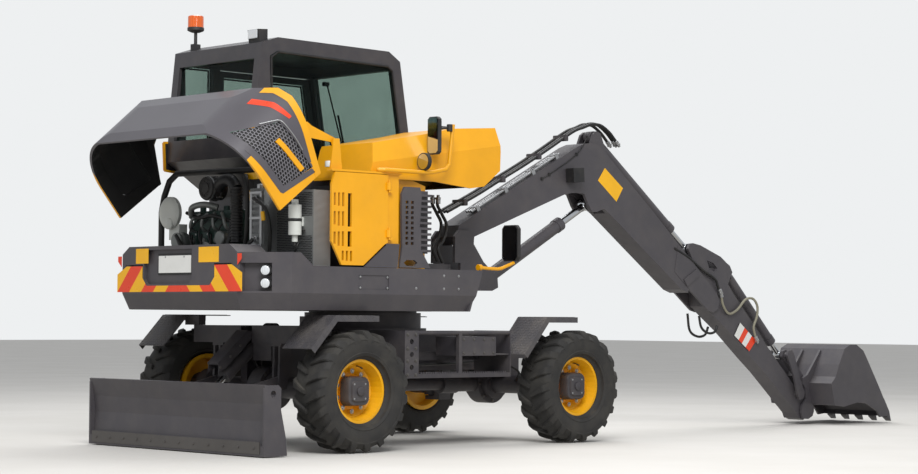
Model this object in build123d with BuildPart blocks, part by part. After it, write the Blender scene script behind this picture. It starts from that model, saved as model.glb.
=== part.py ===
from build123d import *
import math
import os

os.makedirs("parts", exist_ok=True)

# All sizes are millimetres.  x runs forward to the boom, y to the left, z up from the ground.
# Stations along x are counted from the middle of the wheelbase.

ORIGIN_X = -1755.0  # puts the middle of the overall length at x = 0
FIT = 0.05  # radial clearance of a pin in its eye
PLAY = 6.0  # side clearance between a lug and the part it carries

# Wheels and axles
WHEELBASE = 2100.0
FRONT_X = WHEELBASE / 2
REAR_X = -WHEELBASE / 2
TYRE_RADIUS = 408.0
TYRE_HALF_WIDTH = 155.0
WHEEL_Y = 830.0
RIM_FLANGE_RADIUS = 226.0
RIM_BEAD_RADIUS = 212.0
RIM_BARREL_RADIUS = 196.0
RIM_HALF_WIDTH = 122.0
DISC_INNER = -20.0
DISC_OUTER = 0.0
HUB_RADIUS = 92.0
HUB_REACH = 78.0
SPINDLE_RADIUS = 40.0
SPINDLE_REACH = 44.0
WHEEL_SIDES = 32  # flats round a tyre and its rim
LUG_COUNT = WHEEL_SIDES // 2
LUG_LENGTH = 130.0
LUG_THICKNESS = 68.0
LUG_TOP = 405.0
WHEEL_PHASE = 2.35  # degrees, so that a pair of lugs stands level under the axle
LUG_ROOT = 372.0
LUG_BEVEL = 26.0
LUG_SKEW = 32.0
AXLE_RADIUS = 70.0
KINGPIN_Y = 600.0
KINGPIN_RADIUS = 28.0

# Chassis
AXLE_ROOM = 100.0  # from the end of the deep frame to an axle's centre
CHASSIS_HALF_LENGTH = WHEELBASE / 2 - AXLE_ROOM
CHASSIS_END = WHEELBASE / 2 + 200
CHASSIS_HALF_WIDTH = 260.0
CHASSIS_BOTTOM = 520.0
CHASSIS_TOP = 800.0
RAIL_GAP = 62.0
RAIL_BOTTOM = 600.0
SLEW_X = -200.0
RING_RADIUS = 420.0
RING_TOP = 935.0

# Blade
BLADE_HALF_WIDTH = 980.0
BLADE_PIVOT = (-1230.0, 450.0)
BLADE_ARM_Y = 330.0
BLADE_BASE = (-1044.0, 815.0)
BLADE_EYE = (-1640.0, 330.0)

# Upper structure
DECK_BOTTOM = 945.0
DECK_TOP = 1060.0
SKIRT_CREASE = 1055.0
SKIRT_TOP = 1234.0
SKIRT_Y = 930.0
SKIRT_FOOT_Y = 880.0
SKIRT_WALL = 18.0
HOOD_HINGE = (-1220.0, 2060.0)
HINGE_PIN = 12.0
COVER_HINGE = (-620.0, 1860.0)
SIDE_HINGE = (-786.0, -936.0)
DOOR_HINGE = (-897.0, 868.0)
DOOR_HINGES = (1400, 2300)

# Boom group
BOOM_Y = -135.0
SWING_X = 420.0
BOOM_PIN = (580.0, 1500.0)
BOOM_BASE = (850.0, 1165.0)
BOOM_EYE = (2000.0, 1800.0)
ARM_BASE = (2060.0, 2335.0)
ARM_PIN = (3437.0, 1051.0)
ARM_EYE = (3206.0, 1482.0)
BUCKET_BASE = (3709.0, 1311.0)
ROCKER_JOINT = (4450.0, 600.0)
ROCKER_PIN = (4600.0, 265.0)
BUCKET_PIN = (4690.0, 107.0)


def side(y):
    """Plane of a side profile at station y, drawn forward and up, extruding to the right."""
    return Plane(origin=(ORIGIN_X, y, 0), x_dir=(1, 0, 0), z_dir=(0, -1, 0))


def level(z):
    """Plane of a plan profile at height z, drawn forward and left, extruding up."""
    return Plane(origin=(ORIGIN_X, 0, z), x_dir=(1, 0, 0), z_dir=(0, 0, 1))


def cross(x):
    """Plane of a cross-section at station x, drawn left and up, extruding forward."""
    return Plane(origin=(ORIGIN_X + x, 0, 0), x_dir=(0, 1, 0), z_dir=(1, 0, 0))


def outline(plane, points, depth, mode, rounding):
    """Extrude a closed polygon from its plane, with all of its corners rounded if asked."""
    with BuildSketch(plane) as profile:
        with BuildLine():
            Polyline(*points, close=True)
        make_face()
        if rounding > 0:
            fillet(profile.vertices(), rounding)
    extrude(profile.sketch, amount=depth, mode=mode)


def plate(points, left, right, mode=Mode.ADD, rounding=0):
    """Side profile (x, z) carried across the machine between two y stations."""
    outline(side(max(left, right)), points, abs(left - right), mode, rounding)


def slab(points, low, high, mode=Mode.ADD, rounding=0):
    """Plan profile (x, y) carried up between two heights."""
    outline(level(low), points, high - low, mode, rounding)


def bar(points, rear, front, mode=Mode.ADD, rounding=0):
    """Cross-section (y, z) carried along the machine between two x stations."""
    outline(cross(rear), points, front - rear, mode, rounding)


def block(x, y, z, mode=Mode.ADD):
    """Box between a pair of stations along each axis."""
    with Locations((ORIGIN_X + (x[0] + x[1]) / 2, (y[0] + y[1]) / 2, (z[0] + z[1]) / 2)):
        Box(abs(x[1] - x[0]), abs(y[1] - y[0]), abs(z[1] - z[0]), mode=mode)


def pin(centre, radius, left, right, mode=Mode.ADD):
    """Round bar across the machine at a side position."""
    with BuildSketch(side(max(left, right))) as profile:
        with Locations(centre):
            Circle(radius)
    extrude(profile.sketch, amount=abs(left - right), mode=mode)


def post(x, y, radius, low, high, mode=Mode.ADD):
    """Upright round bar."""
    with BuildSketch(level(low)) as plan:
        with Locations((x, y)):
            Circle(radius)
    extrude(plan.sketch, amount=high - low, mode=mode)


def stub(y, z, radius, rear, front, mode=Mode.ADD):
    """Round bar along the machine."""
    with BuildSketch(cross(rear)) as section:
        with Locations((y, z)):
            Circle(radius)
    extrude(section.sketch, amount=front - rear, mode=mode)


def strut(start, end, radius, y, mode=Mode.ADD):
    """Round bar between two side positions at station y."""
    run = (end[0] - start[0], 0, end[1] - start[1])
    with BuildSketch(Plane(origin=(ORIGIN_X + start[0], y, start[1]), z_dir=run)) as section:
        Circle(radius)
    extrude(section.sketch, amount=math.hypot(run[0], run[2]), mode=mode)


def eased(points, bend):
    """The same run of points with each inner corner cut at a distance from it."""
    run = [points[0]]
    for before, corner, after in zip(points, points[1:], points[2:]):
        for other in (before, after):
            part = bend / math.dist(corner, other)
            run.append(tuple(c + (o - c) * part for c, o in zip(corner, other)))
    return run + [points[-1]]


def pipe(points, radius, bend):
    """Bent round tube through a run of points, with mitred bends."""
    with BuildLine() as path:
        Polyline(*[(ORIGIN_X + x, y, z) for x, y, z in eased(points, bend)])
    with BuildSketch(Plane(origin=path.line @ 0, z_dir=path.line % 0)) as section:
        Circle(radius)
    sweep(section.sketch, path=path.line, transition=Transition.RIGHT)


def ring(section, sides):
    """Wheel-shaped solid of mitred flat segments from a section (radius, height) beside the z axis."""
    reach = max(radius for radius, height in section) + 1
    half = reach * math.tan(math.pi / sides)
    tall = max(abs(height) for radius, height in section) + 1
    with BuildPart(mode=Mode.PRIVATE) as segment:
        with BuildSketch(Plane(origin=(0, half, 0), x_dir=(1, 0, 0), z_dir=(0, -1, 0))) as profile:
            with BuildLine():
                Polyline(*section, close=True)
            make_face()
        extrude(profile.sketch, amount=2 * half)
        with BuildSketch(Plane.XY.offset(-tall)) as wedge:
            with BuildLine():
                Polyline((0, 0), (reach, -half), (reach, half), close=True)
            make_face()
        extrude(wedge.sketch, amount=2 * tall, mode=Mode.INTERSECT)
    add([segment.part.rotate(Axis.Z, step * 360 / sides) for step in range(sides)])


def along(start, end, distance):
    """Side position at a distance from start towards end."""
    length = math.dist(start, end)
    part = distance / length
    return (start[0] + (end[0] - start[0]) * part, start[1] + (end[1] - start[1]) * part)


def beside(start, end, distance, offset):
    """Side position at a distance from start towards end, moved square to the left of that run."""
    length = math.dist(start, end)
    run = ((end[0] - start[0]) / length, (end[1] - start[1]) / length)
    return (start[0] + run[0] * distance - run[1] * offset, start[1] + run[1] * distance + run[0] * offset)


def barrel(base, eye, radius, bore, mouth, bottom, lane, pin_radius, y):
    """Cylinder barrel with its base eye, bored for the rod from its mouth down to its bottom."""
    pin(base, radius, y + lane, y - lane)
    strut(along(base, eye, radius * 0.4), along(base, eye, 80), lane - 2, y)
    strut(along(base, eye, 76), along(base, eye, mouth), radius, y)
    strut(along(base, eye, mouth - 60), along(base, eye, mouth), radius + 5, y)
    strut(along(base, eye, bottom), along(base, eye, mouth + 1), bore, y, mode=Mode.SUBTRACT)
    pin(base, pin_radius + FIT, y + lane, y - lane, mode=Mode.SUBTRACT)


def rod(base, eye, radius, tail, lane, eye_radius, pin_radius, y):
    """Cylinder rod from its tail inside the barrel to the eye at its end."""
    length = math.dist(base, eye)
    strut(along(base, eye, tail), along(base, eye, length - eye_radius * 0.5), radius, y)
    pin(eye, eye_radius, y + lane, y - lane)
    pin(eye, pin_radius + FIT, y + lane, y - lane, mode=Mode.SUBTRACT)


def pair(sign, near, far):
    """A y range on the left (+1) or right (-1) side of the machine."""
    return (min(sign * near, sign * far), max(sign * near, sign * far))


def write(builder, name):
    """Label a finished piece and write its file."""
    builder.part.label = name
    export_step(builder.part, f"parts/{name}.step")


# ---- Chassis, axles, fenders and steps ----

with BuildPart() as chassis:
    block((-CHASSIS_HALF_LENGTH, CHASSIS_HALF_LENGTH), (-CHASSIS_HALF_WIDTH, CHASSIS_HALF_WIDTH),
          (CHASSIS_BOTTOM, CHASSIS_TOP))
    post(SLEW_X, 0, RING_RADIUS, CHASSIS_TOP, RING_TOP)
    post(SLEW_X, 0, RING_RADIUS + 40, CHASSIS_TOP, CHASSIS_TOP + 25)
    for s in (1, -1):
        rail = pair(s, RAIL_GAP, CHASSIS_HALF_WIDTH)
        block((-CHASSIS_END, -CHASSIS_HALF_LENGTH), rail, (RAIL_BOTTOM, CHASSIS_TOP + 40))
        block((CHASSIS_HALF_LENGTH, CHASSIS_END), rail, (RAIL_BOTTOM, CHASSIS_TOP))
        block((-CHASSIS_END - 12, -CHASSIS_END), pair(s, RAIL_GAP, 600), (720, CHASSIS_TOP + 40))
        block((-CHASSIS_END - 12, -CHASSIS_END + 50), pair(s, CHASSIS_HALF_WIDTH, 380), (700, 790))
        for y in (BLADE_ARM_Y - 40, BLADE_ARM_Y + 20):
            plate([(-1270, 430), (-1240, 405), (-1200, 410), (-1165, 560), (-1165, 790), (-1262, 790),
                   (-1262, 600)], s * y, s * (y + 20))
        pin(BLADE_PIVOT, 22, s * (BLADE_ARM_Y - 40), s * (BLADE_ARM_Y + 40))
    block((CHASSIS_END - 12, CHASSIS_END), (-CHASSIS_HALF_WIDTH, CHASSIS_HALF_WIDTH),
          (RAIL_BOTTOM, CHASSIS_TOP))
    pin(BLADE_BASE, 24, RAIL_GAP + 20, -RAIL_GAP - 20)
write(chassis, "chassis")

FENDER_IN = 660.0
FENDER_OUT = 960.0
FENDER_TOP = 905.0
FENDER_THICKNESS = 6.0
FENDER_LIP = 40.0
REAR_FENDER = [(-890, 905), (-1270, 905), (-1475, 690), (-1479.5, 694), (-1272, 911), (-890, 911)]
FRONT_FENDER = [(1045, 905), (730, 905), (500, 640), (495.5, 644), (727, 911), (1045, 911)]
REAR_LIP = [(-890, 911), (-1272, 911), (-1479, 694), (-1448, 664), (-1255, 871), (-890, 871)]
FRONT_LIP = [(1045, 911), (727, 911), (495, 644), (525, 618), (745, 871), (1045, 871)]

with BuildPart() as fenders:
    for s in (1, -1):
        plate(REAR_FENDER, s * FENDER_IN, s * FENDER_OUT)
        plate(FRONT_FENDER, s * FENDER_IN, s * FENDER_OUT)
        plate(REAR_LIP, s * (FENDER_OUT - 5), s * FENDER_OUT)
        plate(FRONT_LIP, s * (FENDER_OUT - 5), s * FENDER_OUT)
        block((-1250, -1190), pair(s, 560, 720), (CHASSIS_TOP + 40, FENDER_TOP))
        block((640, 700), pair(s, CHASSIS_HALF_WIDTH, 720), (770, 798))
        plate([(640, 770), (700, 770), (716, 894), (630, 794)], s * 690, s * 720)
write(fenders, "fenders")

STEP_OUT = 870.0
STEP_IN = 500.0
STEP_REAR = -575.0
STEP_FRONT = 445.0
STEP_LOW = 485.0
STEP_HIGH = 812.0

with BuildPart() as side_steps:
    for s in (1, -1):
        outer = pair(s, STEP_OUT - 8, STEP_OUT)
        whole = pair(s, STEP_IN, STEP_OUT)
        block((STEP_REAR, STEP_REAR + 128), outer, (STEP_LOW, STEP_HIGH))
        for z in (560, 648, 736):
            pin((STEP_REAR + 64, z), 18, s * (STEP_OUT - 8), s * STEP_OUT, mode=Mode.SUBTRACT)
        block((STEP_REAR, STEP_REAR + 8), whole, (STEP_LOW, STEP_HIGH))
        block((STEP_FRONT - 8, STEP_FRONT), whole, (STEP_LOW, STEP_HIGH))
        stub(s * (STEP_OUT - 15), STEP_HIGH - 15, 15, STEP_REAR, STEP_FRONT)
        block((STEP_REAR, STEP_FRONT), pair(s, 600, STEP_OUT), (STEP_LOW, STEP_LOW + 30))
        block((-65, -35), pair(s, STEP_OUT - 30, STEP_OUT), (STEP_LOW, STEP_HIGH - 10))
        block((-36, 306), pair(s, 600, STEP_OUT - 10), (636, 769))
        block((STEP_REAR, STEP_FRONT), pair(s, STEP_IN, STEP_IN + 40), (600, 660))
        block((280, STEP_FRONT), pair(s, STEP_IN, STEP_OUT - 10), (640, 650))
        for x in (-480, 300):
            block((x, x + 60), pair(s, CHASSIS_HALF_WIDTH, STEP_IN + 40), (600, 650))
write(side_steps, "side_steps")

with BuildPart() as rear_axle:
    pin((REAR_X, TYRE_RADIUS), AXLE_RADIUS, 640, -640)
    pin((REAR_X, TYRE_RADIUS), 150, 70, -70)
    pin((REAR_X, TYRE_RADIUS), 115, 120, -120)
    for s in (1, -1):
        pin((REAR_X, TYRE_RADIUS), 120, s * 600, s * 700)
        pin((REAR_X, TYRE_RADIUS), 90, s * 700, s * (WHEEL_Y + DISC_INNER - PLAY))
        pin((REAR_X, TYRE_RADIUS), SPINDLE_RADIUS, s * 700, s * (WHEEL_Y + SPINDLE_REACH))
        block((REAR_X - 60, REAR_X + 60), pair(s, 180, 250), (TYRE_RADIUS, RAIL_BOTTOM))
    block((-700, -420), (-140, 140), (300, CHASSIS_BOTTOM))
    stub(0, TYRE_RADIUS, 45, REAR_X, 700)
    stub(0, TYRE_RADIUS, 70, 560, 720)
write(rear_axle, "rear_axle")

with BuildPart() as front_axle:
    pin((FRONT_X, TYRE_RADIUS), AXLE_RADIUS, 500, -500)
    pin((FRONT_X, TYRE_RADIUS), 150, 70, -70)
    pin((FRONT_X, TYRE_RADIUS), 115, 120, -120)
    stub(0, TYRE_RADIUS, 60, 720, FRONT_X)
    block((FRONT_X - 90, FRONT_X + 90), (-CHASSIS_HALF_WIDTH, CHASSIS_HALF_WIDTH),
          (TYRE_RADIUS + 60, RAIL_BOTTOM))
    for s in (1, -1):
        block((FRONT_X - 60, FRONT_X + 60), pair(s, 460, 520), (TYRE_RADIUS - 140, TYRE_RADIUS + 140))
        for z in (TYRE_RADIUS - 140, TYRE_RADIUS + 112):
            block((FRONT_X - 55, FRONT_X + 55), pair(s, 500, KINGPIN_Y), (z, z + 28))
            post(FRONT_X, s * KINGPIN_Y, 55, z, z + 28)
        post(FRONT_X, s * KINGPIN_Y, KINGPIN_RADIUS, TYRE_RADIUS - 140, TYRE_RADIUS + 140)
write(front_axle, "front_axle")

for name, s in (("left", 1), ("right", -1)):
    with BuildPart() as knuckle:
        post(FRONT_X, s * KINGPIN_Y, 62, TYRE_RADIUS - 104, TYRE_RADIUS + 104)
        pin((FRONT_X, TYRE_RADIUS), 60, s * KINGPIN_Y, s * (WHEEL_Y + DISC_INNER - PLAY))
        pin((FRONT_X, TYRE_RADIUS), 95, s * 680, s * (WHEEL_Y + DISC_INNER - PLAY))
        pin((FRONT_X, TYRE_RADIUS), SPINDLE_RADIUS, s * 700, s * (WHEEL_Y + SPINDLE_REACH))
        post(FRONT_X, s * KINGPIN_Y, KINGPIN_RADIUS + FIT, TYRE_RADIUS - 110, TYRE_RADIUS + 110,
             mode=Mode.SUBTRACT)
    write(knuckle, f"knuckle_{name}")

# ---- Wheels ----

# Sections are (distance from the axle, height above the wheel's middle)
BEAD_HEIGHT = RIM_HALF_WIDTH - 14
CARCASS = [(RIM_BEAD_RADIUS, -BEAD_HEIGHT), (RIM_FLANGE_RADIUS + 3, -BEAD_HEIGHT),
           (RIM_FLANGE_RADIUS + 12, -BEAD_HEIGHT - 28), (330, -TYRE_HALF_WIDTH + 3), (385, -118),
           (385, 118), (330, TYRE_HALF_WIDTH - 3), (RIM_FLANGE_RADIUS + 12, BEAD_HEIGHT + 28),
           (RIM_FLANGE_RADIUS + 3, BEAD_HEIGHT), (RIM_BEAD_RADIUS, BEAD_HEIGHT)]
LUG = [(LUG_ROOT, 0), (LUG_TOP, 0), (LUG_TOP, LUG_LENGTH - LUG_BEVEL), (LUG_TOP - LUG_BEVEL, LUG_LENGTH),
       (LUG_ROOT - 30, LUG_LENGTH)]

with BuildPart() as tyre_master:
    ring(CARCASS, WHEEL_SIDES)
    for s in (1, -1):
        for step in range(LUG_COUNT):
            turn = (step + 0.25 * s) * 360 / LUG_COUNT
            middle = s * (7 + LUG_LENGTH / 2)
            skewed = Location((0, 0, 0), (0, 0, turn)) * Location((0, 0, middle), (s * LUG_SKEW, 0, 0))
            with BuildSketch(Plane(skewed * Location((0, LUG_THICKNESS / 2, 0), (90, 0, 0)))) as lug:
                with BuildLine():
                    Polyline(*[(radius, s * (height - LUG_LENGTH / 2)) for radius, height in LUG],
                             close=True)
                make_face()
            extrude(lug.sketch, amount=LUG_THICKNESS)

RIM_SECTION = [(RIM_FLANGE_RADIUS, -RIM_HALF_WIDTH), (RIM_FLANGE_RADIUS, -BEAD_HEIGHT),
               (RIM_BEAD_RADIUS, -BEAD_HEIGHT),
               (RIM_BEAD_RADIUS, BEAD_HEIGHT), (RIM_FLANGE_RADIUS, BEAD_HEIGHT),
               (RIM_FLANGE_RADIUS, RIM_HALF_WIDTH),
               (RIM_BARREL_RADIUS, RIM_HALF_WIDTH), (RIM_BARREL_RADIUS - 24, 34),
               (HUB_RADIUS + 30, DISC_OUTER),
               (0, DISC_OUTER), (0, DISC_INNER), (RIM_BARREL_RADIUS - 8, DISC_INNER),
               (RIM_BARREL_RADIUS, -RIM_HALF_WIDTH)]
HUB_PLAN = [(-92, -60), (-60, -92), (60, -92), (92, -60), (92, 60), (60, 92), (-60, 92), (-92, 60)]

with BuildPart() as rim_master:
    ring(RIM_SECTION, WHEEL_SIDES)
    with BuildSketch(Plane.XY.offset(DISC_OUTER)) as cap:
        with BuildLine():
            Polyline(*HUB_PLAN, close=True)
        make_face()
    extrude(cap.sketch, amount=HUB_REACH - DISC_OUTER, taper=6)
    with Locations((0, 0, DISC_INNER)):
        Cylinder(SPINDLE_RADIUS + FIT, SPINDLE_REACH + PLAY - DISC_INNER,
                 align=(Align.CENTER, Align.CENTER, Align.MIN), mode=Mode.SUBTRACT)

WHEELS = [("front_left", FRONT_X, 1), ("front_right", FRONT_X, -1), ("rear_left", REAR_X, 1),
          ("rear_right", REAR_X, -1)]

for name, x, s in WHEELS:
    upright = Location((ORIGIN_X + x, s * WHEEL_Y, TYRE_RADIUS), (-90 * s, 0, 0))
    place = upright * Location((0, 0, 0), (0, 0, WHEEL_PHASE))
    with BuildPart() as tyre:
        add(place * tyre_master.part)
    write(tyre, f"tyre_{name}")
    with BuildPart() as rim:
        add(place * rim_master.part)
    write(rim, f"rim_{name}")

# ---- Dozer blade ----

BLADE_FACE = [(-1880, 8), (-1852, 100), (-1842, 230), (-1850, 340), (-1880, 462), (-1868, 466),
              (-1830, 344), (-1820, 230), (-1830, 98), (-1850, 6)]
BLADE_END = [(-1880, 8), (-1880, 440), (-1862, 462), (-1764, 462), (-1742, 440), (-1742, 300), (-1700, 120),
             (-1690, 8)]

with BuildPart() as blade:
    plate(BLADE_FACE, BLADE_HALF_WIDTH, -BLADE_HALF_WIDTH)
    plate([(-1866, 6), (-1880, 6), (-1880, 70), (-1845, 90), (-1780, 90), (-1780, 6)], BLADE_HALF_WIDTH,
          -BLADE_HALF_WIDTH)
    plate([(-1835, 250), (-1835, 400), (-1770, 400), (-1770, 250)], BLADE_HALF_WIDTH, -BLADE_HALF_WIDTH)
    for s in (1, -1):
        plate(BLADE_END, s * (BLADE_HALF_WIDTH - 16), s * BLADE_HALF_WIDTH)
        pin((-1806, 405), 22, s * (BLADE_HALF_WIDTH - 16), s * BLADE_HALF_WIDTH, mode=Mode.SUBTRACT)
        plate([(-1800, 90), (-1800, 320), (-1640, 400), (-1225, 500), (-1180, 450), (-1225, 400),
               (-1560, 240), (-1640, 140)],
              s * (BLADE_ARM_Y - 15), s * (BLADE_ARM_Y + 15))
        pin(BLADE_PIVOT, 22 + FIT, s * (BLADE_ARM_Y - 15), s * (BLADE_ARM_Y + 15), mode=Mode.SUBTRACT)
        plate([(-1800, 250), (-1800, 400), (-1660, 375), (-1600, 340), (-1625, 280)], s * 42, s * 58)
    plate([(-1700, 180), (-1700, 250), (-1620, 250), (-1620, 180)], BLADE_ARM_Y - 15, -BLADE_ARM_Y + 15)
write(blade, "blade")

with BuildPart() as blade_barrel:
    barrel(BLADE_BASE, BLADE_EYE, 42, 22 + FIT, 520, 86, 50, 24, 0)
write(blade_barrel, "blade_barrel")

with BuildPart() as blade_rod:
    rod(BLADE_BASE, BLADE_EYE, 22, 240, 34, 38, 20, 0)
write(blade_rod, "blade_rod")

# ---- Upper structure ----

DECK = [(-1600, -790), (-1400, -790), (-1400, -SKIRT_FOOT_Y), (0, -SKIRT_FOOT_Y), (0, BOOM_Y - 260),
        (110, BOOM_Y - 260), (110, BOOM_Y + 260), (0, BOOM_Y + 260),
        (0, SKIRT_FOOT_Y), (-1400, SKIRT_FOOT_Y), (-1400, 790), (-1600, 790)]

with BuildPart() as upper_frame:
    slab(DECK, DECK_BOTTOM, DECK_TOP)
    post(SLEW_X, 0, RING_RADIUS - 30, RING_TOP + 0.3, DECK_BOTTOM)
    for s in (1, -1):
        wall = [(s * SKIRT_FOOT_Y, DECK_BOTTOM), (s * SKIRT_Y, SKIRT_CREASE), (s * SKIRT_Y, SKIRT_TOP),
                (s * (SKIRT_Y - SKIRT_WALL), SKIRT_TOP),
                (s * (SKIRT_Y - SKIRT_WALL), SKIRT_CREASE), (s * (SKIRT_FOOT_Y - SKIRT_WALL), DECK_BOTTOM)]
        bar(wall, -1400, 100)
        plate([(0, 940), (110, 940), (110, 1240), (100, 1217)], s * 1000, s * 800, mode=Mode.SUBTRACT)
    plate([(0, 945), (100, 1217), (100, SKIRT_TOP), (82, SKIRT_TOP), (82, 1217), (-18, 945)],
          SKIRT_Y - SKIRT_WALL, -SKIRT_Y + SKIRT_WALL)
    block((68, 110), (BOOM_Y - 260, BOOM_Y + 260), (DECK_BOTTOM, 1200))
    block((68, 110), (BOOM_Y - 135, BOOM_Y + 260), (DECK_BOTTOM, 1296))
    slab([(68, BOOM_Y - 260), (SWING_X, BOOM_Y - 88), (SWING_X, BOOM_Y + 88), (68, BOOM_Y + 260)], 1030,
         1092)
    slab([(68, BOOM_Y - 135), (SWING_X, BOOM_Y - 88), (SWING_X, BOOM_Y + 88), (68, BOOM_Y + 200)], 1248,
         1296)
    post(SWING_X, BOOM_Y, 88, 1030, 1092)
    post(SWING_X, BOOM_Y, 88, 1248, 1296)
    slab([(68, BOOM_Y - 160), (270, BOOM_Y - 90), (270, BOOM_Y + 90), (68, BOOM_Y + 160)], 1090, 1250)
    for y in (-268, -186):
        plate([(-330, DECK_TOP), (-330, 1110), (68, 1290), (68, DECK_TOP)], y, y + 22)
    post(SWING_X, BOOM_Y, 40, 1030, 1306)
    for y in (-SKIRT_Y - 1, SKIRT_Y - 6):
        block((-1048, -780), (y, y + 7), (1085, 1182), mode=Mode.SUBTRACT)
write(upper_frame, "upper_frame")

WEIGHT_PLAN = [(-1400, -SKIRT_Y), (-1620, -SKIRT_Y), (-1850, -640), (-1850, 640), (-1620, SKIRT_Y),
               (-1400, SKIRT_Y), (-1400, 790), (-1600, 790),
               (-1600, -790), (-1400, -790)]
WEIGHT_FOOT = [(-1400, -SKIRT_FOOT_Y), (-1600, -SKIRT_FOOT_Y), (-1800, -625), (-1800, 625),
               (-1600, SKIRT_FOOT_Y), (-1400, SKIRT_FOOT_Y), (-1400, 790), (-1600, 790),
               (-1600, -790), (-1400, -790)]



def weight_face(distance, outward, sign):
    """Plan position on a rear corner face, at a distance from the middle block and outward from the face."""
    corner, run = (-1850, -640), (0.6216, -0.7834)
    x = corner[0] + run[0] * distance + run[1] * outward
    y = corner[1] + run[1] * distance - run[0] * outward
    return (x, -sign * y)


with BuildPart() as counterweight:
    with BuildSketch(level(DECK_BOTTOM)) as foot:
        with BuildLine():
            Polyline(*WEIGHT_FOOT, close=True)
        make_face()
    with BuildSketch(level(SKIRT_CREASE)) as crease:
        with BuildLine():
            Polyline(*WEIGHT_PLAN, close=True)
        make_face()
    loft(sections=[foot.sketch.face(), crease.sketch.face()], ruled=True)
    slab(WEIGHT_PLAN, SKIRT_CREASE, 1375)
    for s in (1, -1):
        bar([(s * 560, 1400), (s * 560, 1376), (s * 645, 1320), (s * 1000, 1320), (s * 1000, 1400)], -1900,
            -1390, mode=Mode.SUBTRACT)
        slab([(-1900, s * 400), (-1826, s * 400), (-1826, s * 560), (-1846, s * 575), (-1846, s * 600),
              (-1900, s * 600)], SKIRT_CREASE + 8, 1250, mode=Mode.SUBTRACT)
        slab([weight_face(16, 10, s), weight_face(46, -44, s), weight_face(236, -44, s),
              weight_face(236, 10, s)], 1066, 1250, mode=Mode.SUBTRACT)
    bar([(-155, 1350), (-155, 1150), (-125, 1118), (357, 1118), (387, 1150), (387, 1350)], -1860, -1826,
        mode=Mode.SUBTRACT)
    plate([(-1550, 1400), (-1550, 1322), (-1440, SKIRT_TOP), (-1390, SKIRT_TOP), (-1390, 1400)], 1000,
          -1000, mode=Mode.SUBTRACT)
write(counterweight, "counterweight")

with BuildPart() as engine_block:
    block((-1330, -960), (-20, 640), (DECK_TOP, 1560))
    block((-1400, -1330), (120, 700), (1180, 1500))
    block((-1290, -1000), (60, 560), (1560, 1680))
    stub(640, 1560, 40, -1400, -1300)
    stub(640, 1560, 115, -1430, -1400)
    stub(640, 1560, 70, -1442, -1430)
    stub(330, 1330, 80, -1425, -1400)
    stub(130, 1440, 52, -1420, -1320)
    for y in (150, 260, 370, 480):
        stub(y, 1590, 26, -1395, -1290)
write(engine_block, "engine_block")

with BuildPart() as air_filter:
    stub(210, 1790, 80, -1480, -1340)
    stub(210, 1790, 88, -1400, -1380)
    block((-1380, -1290), (190, 230), (1640, 1720))
    pipe([(-1440, 140, 1780), (-1440, -60, 1780), (-1440, -60, 1400)], 36, 50)
write(air_filter, "air_filter")

with BuildPart() as coolant_tank:
    post(-1446, -740, 44, 1440, 1640)
    post(-1446, -740, 24, 1640, 1690)
    post(-1446, -740, 20, 1395, 1440)
    block((-1408, -1397), (-770, -710), (1500, 1560))
write(coolant_tank, "coolant_tank")

with BuildPart() as cooling_pack:
    block((-1380, -1240), (-860, -330), (DECK_TOP, 1740))
    block((-1500, -1380), (-480, -330), (DECK_TOP, 1760))
    for z in range(1390, 1730, 40):
        block((-1508, -1500), (-455, -350), (z, z + 22))
    block((-1397, -1380), (-872, -480), (1240, 1740))
write(cooling_pack, "cooling_pack")

with BuildPart() as bay_frame:
    block((-1395, -1375), (-320, -290), (DECK_TOP, 1890))
    block((-1375, -950), (-320, -290), (DECK_TOP, 1700))
    block((-960, -945), (-900, -320), (DECK_TOP, 1800))
    pipe([(-1372, -250, 1900), (-1372, 730, 1910), (-1372, 850, 1700), (-1372, 850, DECK_TOP)], 22, 60)
    block((-1395, -1375), (-300, -240), (1700, 1880))
    block((-1395, -1375), (-262, -240), (1880, 1922))
    plate([(-1320, 1690), (-1120, 1690), (-1195, 2085), (-1245, 2085)], -290, -306)
    pin(HOOD_HINGE, HINGE_PIN, -268, -306)
write(bay_frame, "bay_frame")

DOOR_REAR = -1290.0
DOOR_FRONT = -792.0

TANK_CAPS = [(-580, -600, 62, 1985), (-440, -600, 58, 1970)]  # x, y, radius, top

with BuildPart() as tank_housing:
    plate([(-790, SKIRT_TOP), (-370, SKIRT_TOP), (-370, 1807), (-620, 1880), (-790, 1880)], -840, -315)
    block((-790, -370), (-840, -315), (DECK_TOP, SKIRT_TOP))
    for x, y, radius, top in TANK_CAPS:
        post(x, y, radius, 1790, top)
        post(x, y, radius + 8, top - 60, top - 44)
    block((-785, -640), (-820, -700), (1860, 1915))
    block((-790, -680), (-912, -840), (DECK_TOP, 1836))
    block((-790, -680), (-912, -876), (1836, 1866))
    block((DOOR_REAR, -670), (-930, -876), (1866, 1880))
    plate([(-1270, 1880), (-1170, 1880), (-1195, 2085), (-1245, 2085)], -878, -892)
    pin(HOOD_HINGE, HINGE_PIN, -852, -892)
    pin(COVER_HINGE, 10 + FIT, -841, -826, mode=Mode.SUBTRACT)
    pin(COVER_HINGE, 10 + FIT, -314, -330, mode=Mode.SUBTRACT)
    for z in (1440, 1760):
        post(SIDE_HINGE[0], SIDE_HINGE[1], 6, z - 16, z + 66)
        block((SIDE_HINGE[0], -760), (-942, -912), (z - 16, z - 1))
write(tank_housing, "tank_housing")

GUARD_FACE = [(-682, 1240), (-660, 1378), (-668, 1740), (-640, 1790), (-500, 1790), (-482, 1744),
              (-500, 1514), (-500, 1382), (-398, 1240)]
GUARD_HOLES = [(-646, 1272), (-620, 1252), (-545, 1252), (-519, 1272), (-545, 1292), (-620, 1292)]
COMB_PITCH = 38.0

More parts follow.
